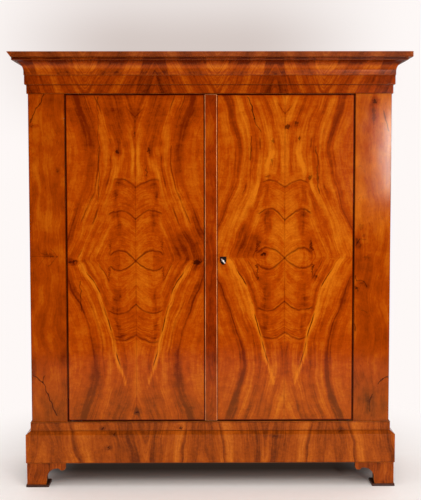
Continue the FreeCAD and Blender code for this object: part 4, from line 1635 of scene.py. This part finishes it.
@dataclass
class Base:
    """Cap moulding, plinth, bracket feet and their pads."""

    front: Material
    side: Material
    foot: Material
    dark: Material
    core: Material
    corner: float = 0.0016
    cap_out: float = 0.006
    cap_depth: float = 0.036
    board_inset: float = 0.024
    board: float = 0.022
    reveal: float = 0.0004
    lip: Tuple[float, float] = (0.002, 0.0016)
    plinth_out: float = 0.026
    plinth_depth: float = 0.006
    foot_out: float = 0.022
    foot_thickness: float = 0.028
    leg: float = 0.086
    knee: float = 0.090
    wing: float = 0.175
    arch: float = 0.045
    crown: float = 0.026
    cusp: float = 0.011
    lobe: float = 0.035
    nose: float = 0.016
    rim: float = 0.0016
    pad_width: float = 0.104
    pad_height: float = 0.011
    pad_out: float = 0.005
    pad_round: float = 0.0038
    rear_thickness: float = 0.024
    lobe_points: int = 11
    arch_points: int = 15

    def cap_section(self) -> Points:
        """Upright face with a soft upper arris, and a rebate for the base board.

        Returns:
            Projection and height of each point.
        """
        under = PLANES.floor - self.reveal
        corners = np.array([
            [self.cap_out, PLANES.cap], [self.cap_out, PLANES.floor], [-self.lip[1], PLANES.floor],
            [-self.lip[0], under], [-self.board_inset, under],
            [-self.board_inset, PLANES.floor - self.board],
            [-self.cap_depth, PLANES.floor - self.board], [-self.cap_depth, PLANES.cap]])
        return soft_outline(corners, [0.0012, 0.0016, 0, 0, 0, 0, 0, 0])

    def plinth_section(self) -> Points:
        """Upright face under a slope that rises to the cap.

        Returns:
            Projection and height of each point.
        """
        corners = np.array([
            [-self.plinth_depth, PLANES.plinth], [self.plinth_out, PLANES.plinth],
            [self.plinth_out, PLANES.slope], [self.cap_out, PLANES.cap],
            [-self.plinth_depth, PLANES.cap]])
        return soft_outline(corners, [0, 0.0016, 0.003, 0.0012, 0])

    def bracket_outline(self) -> Points:
        """Outline of run and drop: leg, knee, arch, cusp, lobe and nose.

        The arch is part of a circle about the knee's end, and the lobe is part of the circle
        through the nose, the lobe's lowest point and the cusp.

        Returns:
            Run and drop of each point.
        """
        middle = np.array([self.knee + self.arch, self.crown + self.arch])
        cusp_down = middle[1] - math.sqrt(self.arch ** 2 - self.cusp ** 2)
        cusp = np.array([middle[0] + self.cusp, cusp_down])
        nose = np.array([self.wing, self.nose])
        low = np.array([(cusp[0] + self.wing) / 2, self.lobe])
        sums = np.array([low - nose, cusp - low])
        squares = np.array([low @ low - nose @ nose, cusp @ cusp - low @ low]) / 2
        centre = np.linalg.solve(sums, squares)
        radius = np.linalg.norm(low - centre)
        first = math.atan2(*(nose - centre)[::-1])
        last = math.atan2(*(cusp - centre)[::-1])
        angle = np.linspace(first, last % (2 * math.pi), self.lobe_points)
        lobe = centre + radius * np.stack([np.cos(angle), np.sin(angle)], axis=1)
        start = math.atan2(*(cusp - middle)[::-1])
        opening = np.linspace(start, -math.pi, self.arch_points)[1:]
        arch = middle + self.arch * np.stack([np.cos(opening), np.sin(opening)], axis=1)
        height = PLANES.plinth - self.pad_height
        return np.concatenate([
            [[0.0, 0.0], [self.wing, 0.0]], lobe, arch, [[self.leg, height], [0.0, height]]])

    def bracket(self, side: Side, front: bool, rear: bool = False) -> Points:
        """One board of a bracket foot, mitred at the front corner.

        Args:
            side: which end of the wardrobe.
            front: whether the board faces the front, and not the side.
            rear: whether it is a side board at the back, which isn't mitred.

        Returns:
            Rings of points through the board.
        """
        outer = PLANES.half_width + self.foot_out
        near = PLANES.front - self.foot_out

        def place(flat: Points, level: Points) -> Points:
            """Put run, drop and depth into space, with the corner end cut along the mitre.

            Args:
                flat: run and drop of each point.
                level: its depth.

            Returns:
                The points in space.
            """
            run = flat[..., 0] if rear else np.maximum(flat[..., 0], level)
            height = PLANES.plinth - flat[..., 1]
            if front:
                return np.stack([side.value * (outer - run), near + level, height], axis=-1)
            depth = PLANES.back - run if rear else near + run
            return np.stack([side.value * (outer - level), depth, height], axis=-1)

        outline = self.bracket_outline()
        return soft_plate(outline, (0.0, self.foot_thickness), (self.rim, 0.0005), place)

    def rear_board(self, side: Side) -> Points:
        """Board across the back of a rear foot.

        Args:
            side: which end of the wardrobe.

        Returns:
            Rings of points from its foot up.
        """
        low, high = side.span(
            PLANES.half_width - self.plinth_depth, PLANES.half_width + self.foot_out - self.leg)
        return soft_block(
            (low, PLANES.back - self.rear_thickness, self.pad_height),
            (high, PLANES.back, PLANES.plinth), 0.001, 0.0005)

    def pad(self, side: Side, start: float) -> Points:
        """Square pad with a rounded upper rim, from one depth back.

        Args:
            side: which end of the wardrobe.
            start: where it starts in depth.

        Returns:
            Rings of points from the floor up.
        """
        outer, end = PLANES.half_width + self.foot_out + self.pad_out, start + self.pad_width
        low, high = side.span(outer, outer - self.pad_width)
        corners = np.array([[low, start], [high, start], [high, end], [low, end]])
        return soft_plate(
            soft_outline(corners, [0.0055] * 4), (0.0, self.pad_height), (0.0012, self.pad_round),
            lambda flat, level: np.concatenate([flat, level[..., None]], axis=-1))

    def build(self) -> None:
        """Make the pieces."""
        sections = {"base_cap": self.cap_section(), "plinth": self.plinth_section()}
        for kind, section in sections.items():
            Piece(f"{kind}_front_face", [Shell(front_run(section, self.corner))],
                  f"{kind}_front", self.front).make()
        for side in Side:
            end = side.name.lower()
            for kind, section in sections.items():
                Piece(f"{kind}_{end}_face", [Shell(side_run(section, self.corner, side))],
                      f"{kind}_{end}", self.side, self.core).make()
            boards = [Shell(self.bracket(side, True)), Shell(self.bracket(side, False))]
            Piece(f"front_{end}_bracket", boards, f"front_{end}_foot", self.foot, self.core,
                  side.inward()).make()
            boards = [Shell(self.bracket(side, False, True)), Shell(self.rear_board(side))]
            Piece(f"rear_{end}_bracket", boards, f"rear_{end}_foot", self.foot, self.core).make()
        starts = (PLANES.front - self.foot_out - self.pad_out, PLANES.back - self.pad_width)
        pads = [Shell(self.pad(side, start)) for side in Side for start in starts]
        Piece("foot_pad_set", pads, "foot_pads", self.dark, slot=Slot.EBONISED).make()


@dataclass
class Sides:
    """Pilasters and side panels."""

    left: Material
    right: Material
    panel: Material
    inside: Material
    arris: float = 0.002
    panel_arris: float = 0.0016
    rim: float = 0.0008

    def build(self) -> None:
        """Make the pieces."""
        for side, face in ((Side.LEFT, self.left), (Side.RIGHT, self.right)):
            end = side.name.lower()
            post = soft_block(*box_of(f"{end}_pilaster"), self.arris, self.rim)
            Piece(f"{end}_pilaster_post", [Shell(post)], f"{end}_pilaster", face).make()
            panel = soft_block(*box_of(f"{end}_side_panel"), self.panel_arris, self.rim)
            Piece(f"{end}_side_board", [Shell(panel)], f"{end}_side_panel", self.panel,
                  self.inside, side.inward()).make()


@dataclass
class Doors:
    """Both leaves, their frames and the closing strip."""

    left: Material
    right: Material
    strip: Material
    upright: Material
    level: Material
    iron: Material
    arris: float = 0.003
    rim: float = 0.0012

    def build(self) -> None:
        """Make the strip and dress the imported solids."""
        strip = soft_block(*box_of("closing_strip"), self.arris, self.rim)
        Piece("closing_strip_bead", [Shell(strip)], "closing_strip", self.strip,
              body=Body.RIGHT_DOOR).make()
        dress(self.left, "left_door_veneer")
        dress(self.right, "right_door_veneer")
        for end in ("left", "right"):
            dress(self.upright, f"{end}_door_hinge_stile", f"{end}_door_meeting_stile",
                  f"{end}_door_panel")
            dress(self.level, f"{end}_door_rails")
            dress(self.iron, f"{end}_door_pivots", f"{end}_door_screws")
        dress(self.iron, "strike_plate", "bolt_guides", "upper_bolt", "lower_bolt")


@dataclass
class Lock:
    """Key, shield, case and bolt."""

    steel: Material
    iron: Material
    shield: Material
    axis: Tuple[float, float] = (0.05825, 1.026)
    lean: float = math.radians(40)
    bow_half: Tuple[float, float] = (0.011, 0.0095)
    bow_middle: float = -0.2418
    band: float = 0.005
    thickness: float = 0.0055
    shank: float = 0.003
    collar: float = 0.005
    shank_y: Tuple[float, float] = (-0.2323, -0.1941)
    collar_y: Tuple[float, float] = (-0.2298, -0.2258)
    bit_y: Tuple[float, float] = (-0.2043, -0.1973)
    bit_thickness: float = 0.0026
    bit_reach: float = 0.012
    bow_points: Tuple[int, int] = (56, 16)
    squareness: float = 0.75

    def bow(self) -> Points:
        """Oval ring with a soft band.

        With t round the oval and a round its band, a point stands on the oval's line, plus
        band / 2 cos(a) along the oval's normal and thickness / 2 sin(a) across it, with both waves
        squared off a little by a power.

        Returns:
            Rings of points round the oval.
        """
        t, a = (np.linspace(0.0, 2 * math.pi, count, endpoint=False) for count in self.bow_points)
        t, a = t[:, None], a[None]
        up, along = self.bow_half
        normal = np.stack([up * np.cos(t), along * np.sin(t)], axis=-1)
        normal /= np.linalg.norm(normal, axis=-1, keepdims=True)
        soft_cos, soft_sin = (
            np.sign(wave) * np.abs(wave) ** self.squareness for wave in (np.cos(a), np.sin(a)))
        y = self.bow_middle + along * np.cos(t) + normal[..., 0] * soft_cos * self.band / 2
        z = up * np.sin(t) + normal[..., 1] * soft_cos * self.band / 2
        x = np.broadcast_to(soft_sin * self.thickness / 2, y.shape)
        return np.stack([x, y, z], axis=-1)

    def stem(self) -> Points:
        """Shank with a rounded collar, turned round the key's axis.

        Returns:
            Rings of points along the axis.
        """
        r, c = self.shank, self.collar
        start, end = self.shank_y
        near, far = self.collar_y
        profile = np.array([
            [r * 0.6, start], [r, start + 0.0006], [r, near - 0.0002], [c - 0.0008, near],
            [c, near + 0.0008], [c, far - 0.0008], [c - 0.0008, far], [r, far + 0.0002],
            [r, end - 0.0005], [r * 0.7, end]])
        return turned(profile)

    def lean_over(self, rings: Points) -> Points:
        """Turn points about the key's axis to where the key stands at rest.

        Args:
            rings: points of an upright key.

        Returns:
            The turned points.
        """
        cosine, sine = math.cos(self.lean), math.sin(self.lean)
        x = self.axis[0] + rings[..., 0] * cosine - rings[..., 2] * sine
        z = self.axis[1] + rings[..., 0] * sine + rings[..., 2] * cosine
        return np.stack([x, rings[..., 1], z], axis=-1)

    def build(self) -> None:
        """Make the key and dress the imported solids."""
        half = self.bit_thickness / 2
        bit = soft_block(
            (-half, self.bit_y[0], -self.bit_reach), (half, self.bit_y[1], 0.0), 0.0005, 0.0003)
        shells = [
            Shell(self.lean_over(self.bow()), True), Shell(self.lean_over(self.stem())),
            Shell(self.lean_over(bit))]
        Piece("door_key", shells, "key", self.steel, body=Body.KEY, slot=Slot.KEY_STEEL).make()
        dress(self.iron, "lock_case", "lock_plate", "lock_bolt")
        dress(self.shield, "escutcheon")


@dataclass
class Inside:
    """Boards and fittings behind the doors, and the back."""

    upright: Material
    level: Material
    deep: Material
    aged: Material
    iron: Material

    def build(self) -> None:
        """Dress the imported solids."""
        dress(self.upright, "back_boards")
        dress(self.level, "lower_shelf", "middle_shelf", "upper_shelf", "top_board",
              "cornice_back_rail")
        # Stained boards under the plinth: darker partly as painted shade there.
        dress(self.aged, "base_board", "plinth_back", "foot_blocks", "door_stops")
        dress(self.deep, "shelf_cleats")
        dress(self.iron, "pivot_plates", "carcass_screws")


# Studio

def put_in(name: str, data: ID, axes: Sequence[Points], at: Sequence[float]) -> Object:
    """Put a lamp or a camera into the scene.

    Args:
        name: its name.
        data: what it is.
        axes: directions of its right, its top and its back.
        at: where it stands.

    Returns:
        The new object.
    """
    turn = np.eye(4)
    turn[:3] = np.stack([*axes, np.array(at)], axis=1)
    made = bpy.data.objects.new(name, data)
    bpy.context.scene.collection.objects.link(made)
    made.matrix_world = Matrix(turn.tolist())
    return made


@dataclass(frozen=True)
class SoftBox:
    """A lamp: where it stands, what it faces, its width and height, and its power in watts."""

    name: str
    at: Tuple[float, float, float]
    aim: Tuple[float, float, float]
    size: Tuple[float, float]
    power: float
    tint: Tint = Tint(255, 246, 238)

    def build(self) -> None:
        """Add the lamp."""
        data = bpy.data.lights.new(self.name, "AREA")
        data.shape, data.energy = "RECTANGLE", self.power
        data.size, data.size_y = self.size
        data.color = self.tint.linear()[:3]
        back = np.array(self.at) - np.array(self.aim)
        back /= np.linalg.norm(back)
        right = np.cross(UPWARD, back)
        right /= np.linalg.norm(right)
        put_in(self.name, data, (right, np.cross(back, right), back), self.at)


@dataclass
class Studio:
    """Floor, background, lamps and camera."""

    camera_place: Tuple[float, float, float] = (-0.0344, -4.9705, 1.4086)
    yaw: float = math.radians(0.429)
    pitch: float = math.radians(-4.017)
    roll: float = math.radians(-0.077)
    focal_pixels: float = 1059.8
    long_side: float = 500.0
    sensor: float = 36.0
    floor_rings: Tuple[float, ...] = (0.2, 1.0, 2.0, 3.8)
    floor_points: int = 96
    floor_tint: Tint = Tint(250, 249, 249)
    mottle_tint: Tint = Tint(243, 240, 238)
    dust_tint: Tint = Tint(116, 104, 96)
    far_tint: Tint = Tint(254, 248, 246)
    top_tint: Tint = Tint(213, 201, 196)
    room_tint: Tint = Tint(255, 232, 214)
    soft_tint: Tint = Tint(255, 250, 246)
    ambient: float = 0.06
    overhead: float = 1.4
    room: float = 0.03
    behind: float = 0.35
    lamps: Tuple[SoftBox, ...] = (
        SoftBox("key_box", (1.68, -4.75, 1.605), (0.1, -0.2, 1.1), (0.20, 0.69), 44.0),
        SoftBox("top_box", (0.9, -4.0, 3.35), (0.0, -0.3, 0.6), (3.2, 1.7), 82.0),
        SoftBox("left_box", (-3.6, -3.6, 2.6), (0.0, -0.2, 0.9), (1.6, 2.0), 12.0))

    def floor_material(self) -> Material:
        """Pale floor with a painted shadow under the wardrobe, that the camera sees fade into the
        background.

        Returns:
            The material.
        """
        material, graph, shader = new_material("pale_floor")
        x, y, _ = graph.place()
        mottle = graph.noise((x / 60.0, y / 60.0, 0.0), 4.0, 0.6)
        colour = graph.mix(mottle * 0.3, self.floor_tint, self.mottle_tint)
        # Painted shadow on the floor under the wardrobe.
        under = y.step(-75.0, 60.0) * y.step(420.0, 300.0) * abs(x).step(900.0, 760.0)
        graph.fill(
            shader, Base_Color=graph.mix(under, colour, self.dust_tint), Roughness=0.55,
            Specular_IOR_Level=0.2)
        seen = Signal(graph, graph.node("ShaderNodeLightPath").outputs["Is Camera Ray"])
        far = (x * x + y * y * 0.6).root().step(620.0, 1600.0)
        glow = graph.node("ShaderNodeEmission", self.far_tint)
        surface = graph.node("ShaderNodeMixShader", far * seen, shader, glow)
        graph.fill(material.node_tree.nodes["Material Output"], Surface=surface)
        return material

    def floor(self) -> None:
        """Round floor: rings of radius r from the middle out, with points at r cos(a), r sin(a)."""
        angle = np.linspace(0.0, 2 * math.pi, self.floor_points, endpoint=False)[None]
        radius = np.array(self.floor_rings)[:, None]
        x, y = radius * np.cos(angle), radius * np.sin(angle)
        rings = np.stack([x, y, np.zeros_like(x)], axis=-1)
        mesh = bpy.data.meshes.new("studio_floor")
        # The last cap would cover the whole floor.
        mesh.from_pydata(rings.reshape(-1, 3).tolist(), [], Shell(rings).faces(0)[:-1])
        mesh.materials.append(self.floor_material())
        made = bpy.data.objects.new("studio_floor", mesh)
        bpy.context.scene.collection.objects.link(made)
        log.info("stage studio_floor")

    def background(self) -> None:
        """Pale surround that the camera sees, with painted shade above the middle, dim in the
        gloss, and a soft light all round.
        """
        world = bpy.data.worlds.new("studio")
        world.use_nodes = True
        bpy.context.scene.world = world
        graph = Graph(world.node_tree)
        world.node_tree.nodes.clear()
        source = graph.node("ShaderNodeTexCoord")
        parts = graph.node("ShaderNodeSeparateXYZ", source.outputs["Generated"])
        side, ahead, up = (Signal(graph, socket) for socket in parts.outputs)
        path = graph.node("ShaderNodeLightPath")
        camera, glossy, passing = (
            Signal(graph, path.outputs[f"Is {kind} Ray"])
            for kind in ("Camera", "Glossy", "Transmission"))
        # Painted shade on the backdrop just above the cornice, in the middle.
        backdrop_shade = up.step(0.02, 0.11) * (1.0 - up.step(0.12, 0.17) * 0.5)
        backdrop_shade = backdrop_shade * abs(side + 0.015).step(0.21, 0.05)
        colour = graph.mix(backdrop_shade, self.far_tint, self.top_tint)
        around = (0.12 + ahead.step(0.3, -0.3) * 0.88) * self.ambient
        around = around + up.step(0.25, 1.0) * self.overhead
        beyond = self.room + ahead.step(-0.2, 0.5) * self.behind
        seen = graph.node("ShaderNodeBackground", colour, 1.0)
        light = graph.node("ShaderNodeBackground", self.soft_tint, around)
        mirrored = graph.node("ShaderNodeBackground", self.room_tint, beyond)
        unseen = graph.node("ShaderNodeMixShader", glossy.most(passing), light, mirrored)
        surround = graph.node("ShaderNodeMixShader", camera, unseen, seen)
        graph.node("ShaderNodeOutputWorld", surround)

    def camera(self) -> None:
        """Camera at the photograph's viewing angle."""
        cos_pitch = math.cos(self.pitch)
        ahead = np.array([
            math.sin(self.yaw) * cos_pitch, math.cos(self.yaw) * cos_pitch, math.sin(self.pitch)])
        level = np.array([math.cos(self.yaw), -math.sin(self.yaw), 0.0])
        upright = np.cross(level, ahead)
        right = level * math.cos(self.roll) + upright * math.sin(self.roll)
        up = upright * math.cos(self.roll) - level * math.sin(self.roll)
        data = bpy.data.cameras.new("view")
        data.sensor_width = self.sensor
        data.lens = self.focal_pixels / self.long_side * self.sensor
        made = put_in("view", data, (right, up, -ahead), self.camera_place)
        bpy.context.scene.camera = made

    def build(self) -> None:
        """Set everything up."""
        bpy.context.scene.view_settings.view_transform = "Standard"
        self.floor()
        self.background()
        for lamp in self.lamps:
            lamp.build()
        self.camera()


# Choice of finishes. Knots and cracks stand where the photograph shows them.

@dataclass(frozen=True)
class Stock:
    """Materials and effects that several sub-assemblies share."""

    effects: Effects
    bare_up: Material
    bare_level: Material
    stained_up: Material
    stained_level: Material
    iron: Material


def lay_in_stock() -> Stock:
    """Make the shared materials and effects.

    Returns:
        The stock.
    """
    stain = {"pale": Tint(128, 74, 36), "dark": Tint(84, 46, 22)}
    return Stock(
        Effects(grain_effect(), polish_effect(), CrotchFigure(CrotchSizes()).make()),
        SoftwoodFinish("softwood_upright", Grain.UPRIGHT).make(),
        SoftwoodFinish("softwood_level", Grain.ACROSS).make(),
        SoftwoodFinish("stained_softwood_upright", Grain.UPRIGHT, **stain).make(),
        SoftwoodFinish("stained_softwood_level", Grain.ACROSS, **stain).make(),
        MetalFinish("oiled_iron", Tint(96, 92, 88), Tint(52, 36, 28), 0.42, 0.55).make())


def make_cornice(stock: Stock) -> Cornice:
    """Cornice in banded veneer, whose leaves turn over at the same places on every moulding.

    Args:
        stock: the shared materials and effects.

    Returns:
        The cornice.
    """
    frieze = BandedFinish(
        "frieze_banding", stock.effects, 4.0,
        Palette(Tint(88, 25, 0), Tint(154, 55, 2), Tint(204, 100, 12)),
        turns=(-1280.0, -1090.0, -830.0, -554.0, -244.0, 34.0, 290.0, 503.0, 816.0, 1090.0),
        lean=0.5, contrast=0.8, legs=0.34, seams=(1853.0, 1811.0, 1773.0, 1915.0, 1926.5))
    cove = replace(
        frieze, name="cove_banding",
        palette=Palette(Tint(98, 30, 1), Tint(174, 70, 4), Tint(220, 118, 20)),
        lean=0.6, tulip=0.2, dull=0.16,
        # Painted shade under the fillet and a painted lighter band across the cove.
        bands=((1914.0, 22.0, -0.45), (1888.0, 12.0, 0.14), (1864.0, 8.0, -0.1)))
    slab = replace(
        frieze, name="slab_banding",
        palette=Palette(Tint(78, 28, 6), Tint(143, 62, 18), Tint(188, 102, 36)),
        lean=0.6, contrast=0.7, legs=0.2, dull=0.08, seams=(1926.5,))
    return Cornice(
        slab.make(), stock.stained_level, cove.make(),
        cove.at_side("cove_side_banding", 9.0).make(), frieze.make(),
        frieze.at_side("frieze_side_banding", 9.0).make())


def make_base(stock: Stock) -> Base:
    """Base in banded veneer, with plain feet on dark pads.

    Args:
        stock: the shared materials and effects.

    Returns:
        The base.
    """
    front = BandedFinish(
        "plinth_banding", stock.effects, 14.0,
        Palette(Tint(104, 42, 6), Tint(164, 74, 12), Tint(206, 112, 28), Tint(84, 26, 2)),
        (Spot(-488, 266, 9, 6, 0.8), Spot(-437, 243, 9, 6, 0.8), Spot(-460, 180, 9, 8, 0.8),
         Spot(-136, 266, 8, 6, 0.8), Spot(292, 232, 18, 5, 0.6), Spot(592, 254, 8, 6, 0.6)),
        turns=(-1280.0, -1020.0, -766.0, -290.0, -42.0, 246.0, 542.0, 860.0), lean=0.13,
        leaf=260.0, contrast=0.95, depth=0.7, sway=18.0, vein=0.14, spacing=25.0,
        seams=(254.0, 294.0, 111.0),
        # Painted shade on the slope and along the top of the cap, under the doors.
        bands=((240.0, 4.0, -0.1), (247.0, 10.0, -0.14), (297.0, 13.0, -0.4)))
    foot = VeneerFinish(
        "foot_veneer", stock.effects, 27.0,
        Palette(Tint(84, 32, 4), Tint(154, 66, 10), Tint(194, 100, 24)), streaks=0.55, specks=0.7)
    return Base(
        front.make(), front.at_side("plinth_side_banding", 19.0).make(), foot.make(),
        DarkWoodFinish("ebonised_wood_polished").make(), stock.stained_level)


def make_sides(stock: Stock) -> Sides:
    """Pilasters with their knots and cracks, and plainer side panels.

    Args:
        stock: the shared materials and effects.

    Returns:
        The sides.
    """
    panel = VeneerFinish(
        "side_veneer", stock.effects, 31.0,
        Palette(Tint(104, 30, 0), Tint(166, 64, 2), Tint(206, 108, 14)), streaks=0.42, clouds=0.2)
    left = replace(
        panel, name="left_pilaster_veneer", seed=35.0, jamb=-647.0, streaks=0.2, specks=0.25,
        wear=0.3, clouds=0.34, spots=(
            Spot(-715, 1050, 24, 9, 0.4), Spot(-735, 1058, 8, 14, 0.4),
            Spot(-680, 1432, 5, 8, 0.5), Spot(-792, 1630, 14, 5, 0.6)),
        cracks=(
            Crack(-739, 1766, -803, 1641), Crack(-800, 507, -759, 474, 4.0, 0.8),
            Crack(-759, 474, -699, 326, 3.6, 0.8), Crack(-759, 474, -751, 505),
            Crack(-806, 1046, -684, 1045, 2.6, 0.35), Crack(-684, 1045, -716, 1080, 3.0, 0.35),
            Crack(-684, 1045, -728, 1004, 3.0, 0.35), Crack(-742, 1052, -776, 1086, 2.6, 0.25),
            Crack(-742, 1040, -770, 1010, 2.6, 0.25)))
    right = replace(
        left, name="right_pilaster_veneer", seed=39.0, jamb=647.0, clouds=0.32,
        # Painted light over the upper part, and darker towards the foot.
        shade=Shade(0.02, 0.2, -0.06, -0.2), spots=(
            Spot(734, 1736, 12, 9, 0.8), Spot(731, 1676, 10, 52, 0.55), Spot(718, 386, 8, 9, 0.45),
            Spot(678, 1180, 13, 20, 0.26), Spot(703, 1040, 24, 9, 0.34),
            Spot(698, 1000, 38, 26, 0.13), Spot(662, 1112, 9, 15, 0.5), Spot(676, 1094, 7, 9, 0.4),
            Spot(690, 1140, 8, 6, 0.3), Spot(682, 926, 11, 8, 0.5), Spot(660, 902, 7, 11, 0.5),
            Spot(706, 914, 8, 7, 0.35)),
        cracks=(
            Crack(770, 1691, 802, 1609), Crack(654, 1092, 674, 1124, 3.6, 0.5),
            Crack(674, 1124, 700, 1128, 3.0, 0.4), Crack(806, 497, 783, 483, 4.0, 0.8),
            Crack(783, 483, 760, 466, 4.0, 0.8), Crack(735, 414, 721, 340),
            Crack(652, 955, 662, 940, 3.6, 0.6), Crack(662, 940, 690, 937, 3.0, 0.45),
            Crack(690, 937, 704, 906, 3.6, 0.5), Crack(654, 915, 668, 890, 3.6, 0.5),
            Crack(652, 738, 653, 704, 4.0, 0.6), Crack(684, 800, 704, 791, 3.0, 0.4)))
    return Sides(left.make(), right.make(), panel.make(), stock.bare_up)


def make_doors(stock: Stock) -> Doors:
    """Leaves in matched crotch veneer, each with its own seed, joint, knots and cracks.

    Args:
        stock: the shared materials and effects.

    Returns:
        The doors.
    """
    left = DoorFinish(
        "left_door_crotch", stock.effects, 51.0, centre=-334.4, spots=(
            Spot(-58, 1020, 24, 16, 0.9), Spot(-620, 1023, 28, 6, 0.9),
            Spot(-414, 1515, 9, 12, 0.8), Spot(-273, 1522, 7, 15, 0.7),
            Spot(-333, 337, 12, 9, 0.95), Spot(-284, 1425, 4.5, 38, 0.5),
            Spot(-338, 1591, 4.5, 26, 0.5)),
        cracks=(
            Crack(-500, 1760, -499, 1290, 3.0, 0.5), Crack(-585, 940, -584, 800, 2.6, 0.6)))
    right = DoorFinish(
        "right_door_crotch", stock.effects, 57.0, centre=334.5, joint=1038.0, shift=19.0, lift=0.11,
        dusk=(150.0, 1108.0), field=(30.75, 643.0), spots=(
            Spot(346, 1627, 16, 13, 0.75), Spot(386, 1640, 15, 10, 0.6),
            Spot(282, 1560, 8, 17, 0.5), Spot(398, 1573, 7, 10, 0.75), Spot(277, 1466, 5, 20, 0.4),
            Spot(448, 1398, 13, 11, 0.6), Spot(255, 1403, 17, 9, 0.4), Spot(237, 1057, 12, 10, 0.9),
            Spot(421, 1240, 12, 32, 0.24), Spot(259, 1236, 11, 30, 0.24),
            Spot(452, 1093, 8, 20, 0.5), Spot(219, 1102, 8, 18, 0.5), Spot(475, 954, 6, 7, 0.7),
            Spot(214, 949, 6, 9, 0.6)),
        cracks=(
            Crack(172, 1752, 196, 1660, 4.2, 0.8), Crack(196, 1660, 224, 1600, 3.4, 0.6),
            Crack(186, 1580, 180, 1480, 3.4, 0.6), Crack(474, 1535, 486, 1330, 3.4, 0.6)))
    # Pale, strongly worn arrises: wear and a painted highlight along the strip's edges.
    strip = VeneerFinish(
        "strip_veneer", stock.effects, 43.0,
        Palette(Tint(96, 26, 0), Tint(154, 52, 2), Tint(190, 90, 8), rubbed=Tint(240, 160, 100)),
        wear=1.7)
    return Doors(
        left.make(), right.make(), strip.make(), stock.stained_up, stock.stained_level, stock.iron)


def make_lock(stock: Stock) -> Lock:
    """Lock with a bright key and a dark shield.

    Args:
        stock: the shared materials and effects.

    Returns:
        The lock.
    """
    steel = MetalFinish(
        "bright_key_steel", Tint(246, 242, 236), Tint(150, 134, 118), 0.36, 0.25, 0.5)
    shield = DarkWoodFinish("ebonised_shield", Tint(16, 9, 8), Tint(46, 24, 16), 0.1)
    return Lock(steel.make(), stock.iron, shield.make())


def make_inside(stock: Stock) -> Inside:
    """Inside in bare softwood, with stained boards where they show; those under the plinth are
    darkened partly as painted shade.
    """
    deep = SoftwoodFinish("softwood_deep", Grain.DEEP)
    return Inside(stock.bare_up, stock.bare_level, deep.make(), stock.stained_level, stock.iron)


def main() -> None:
    """Build the wardrobe and the studio."""
    logging.basicConfig(level=logging.INFO, format="%(name)s: %(message)s")
    stock = lay_in_stock()
    for make in (make_cornice, make_base, make_sides, make_doors, make_lock, make_inside):
        make(stock).build()
    Studio().build()
    bpy.context.view_layer.update()


if __name__ == "__main__":
    main()
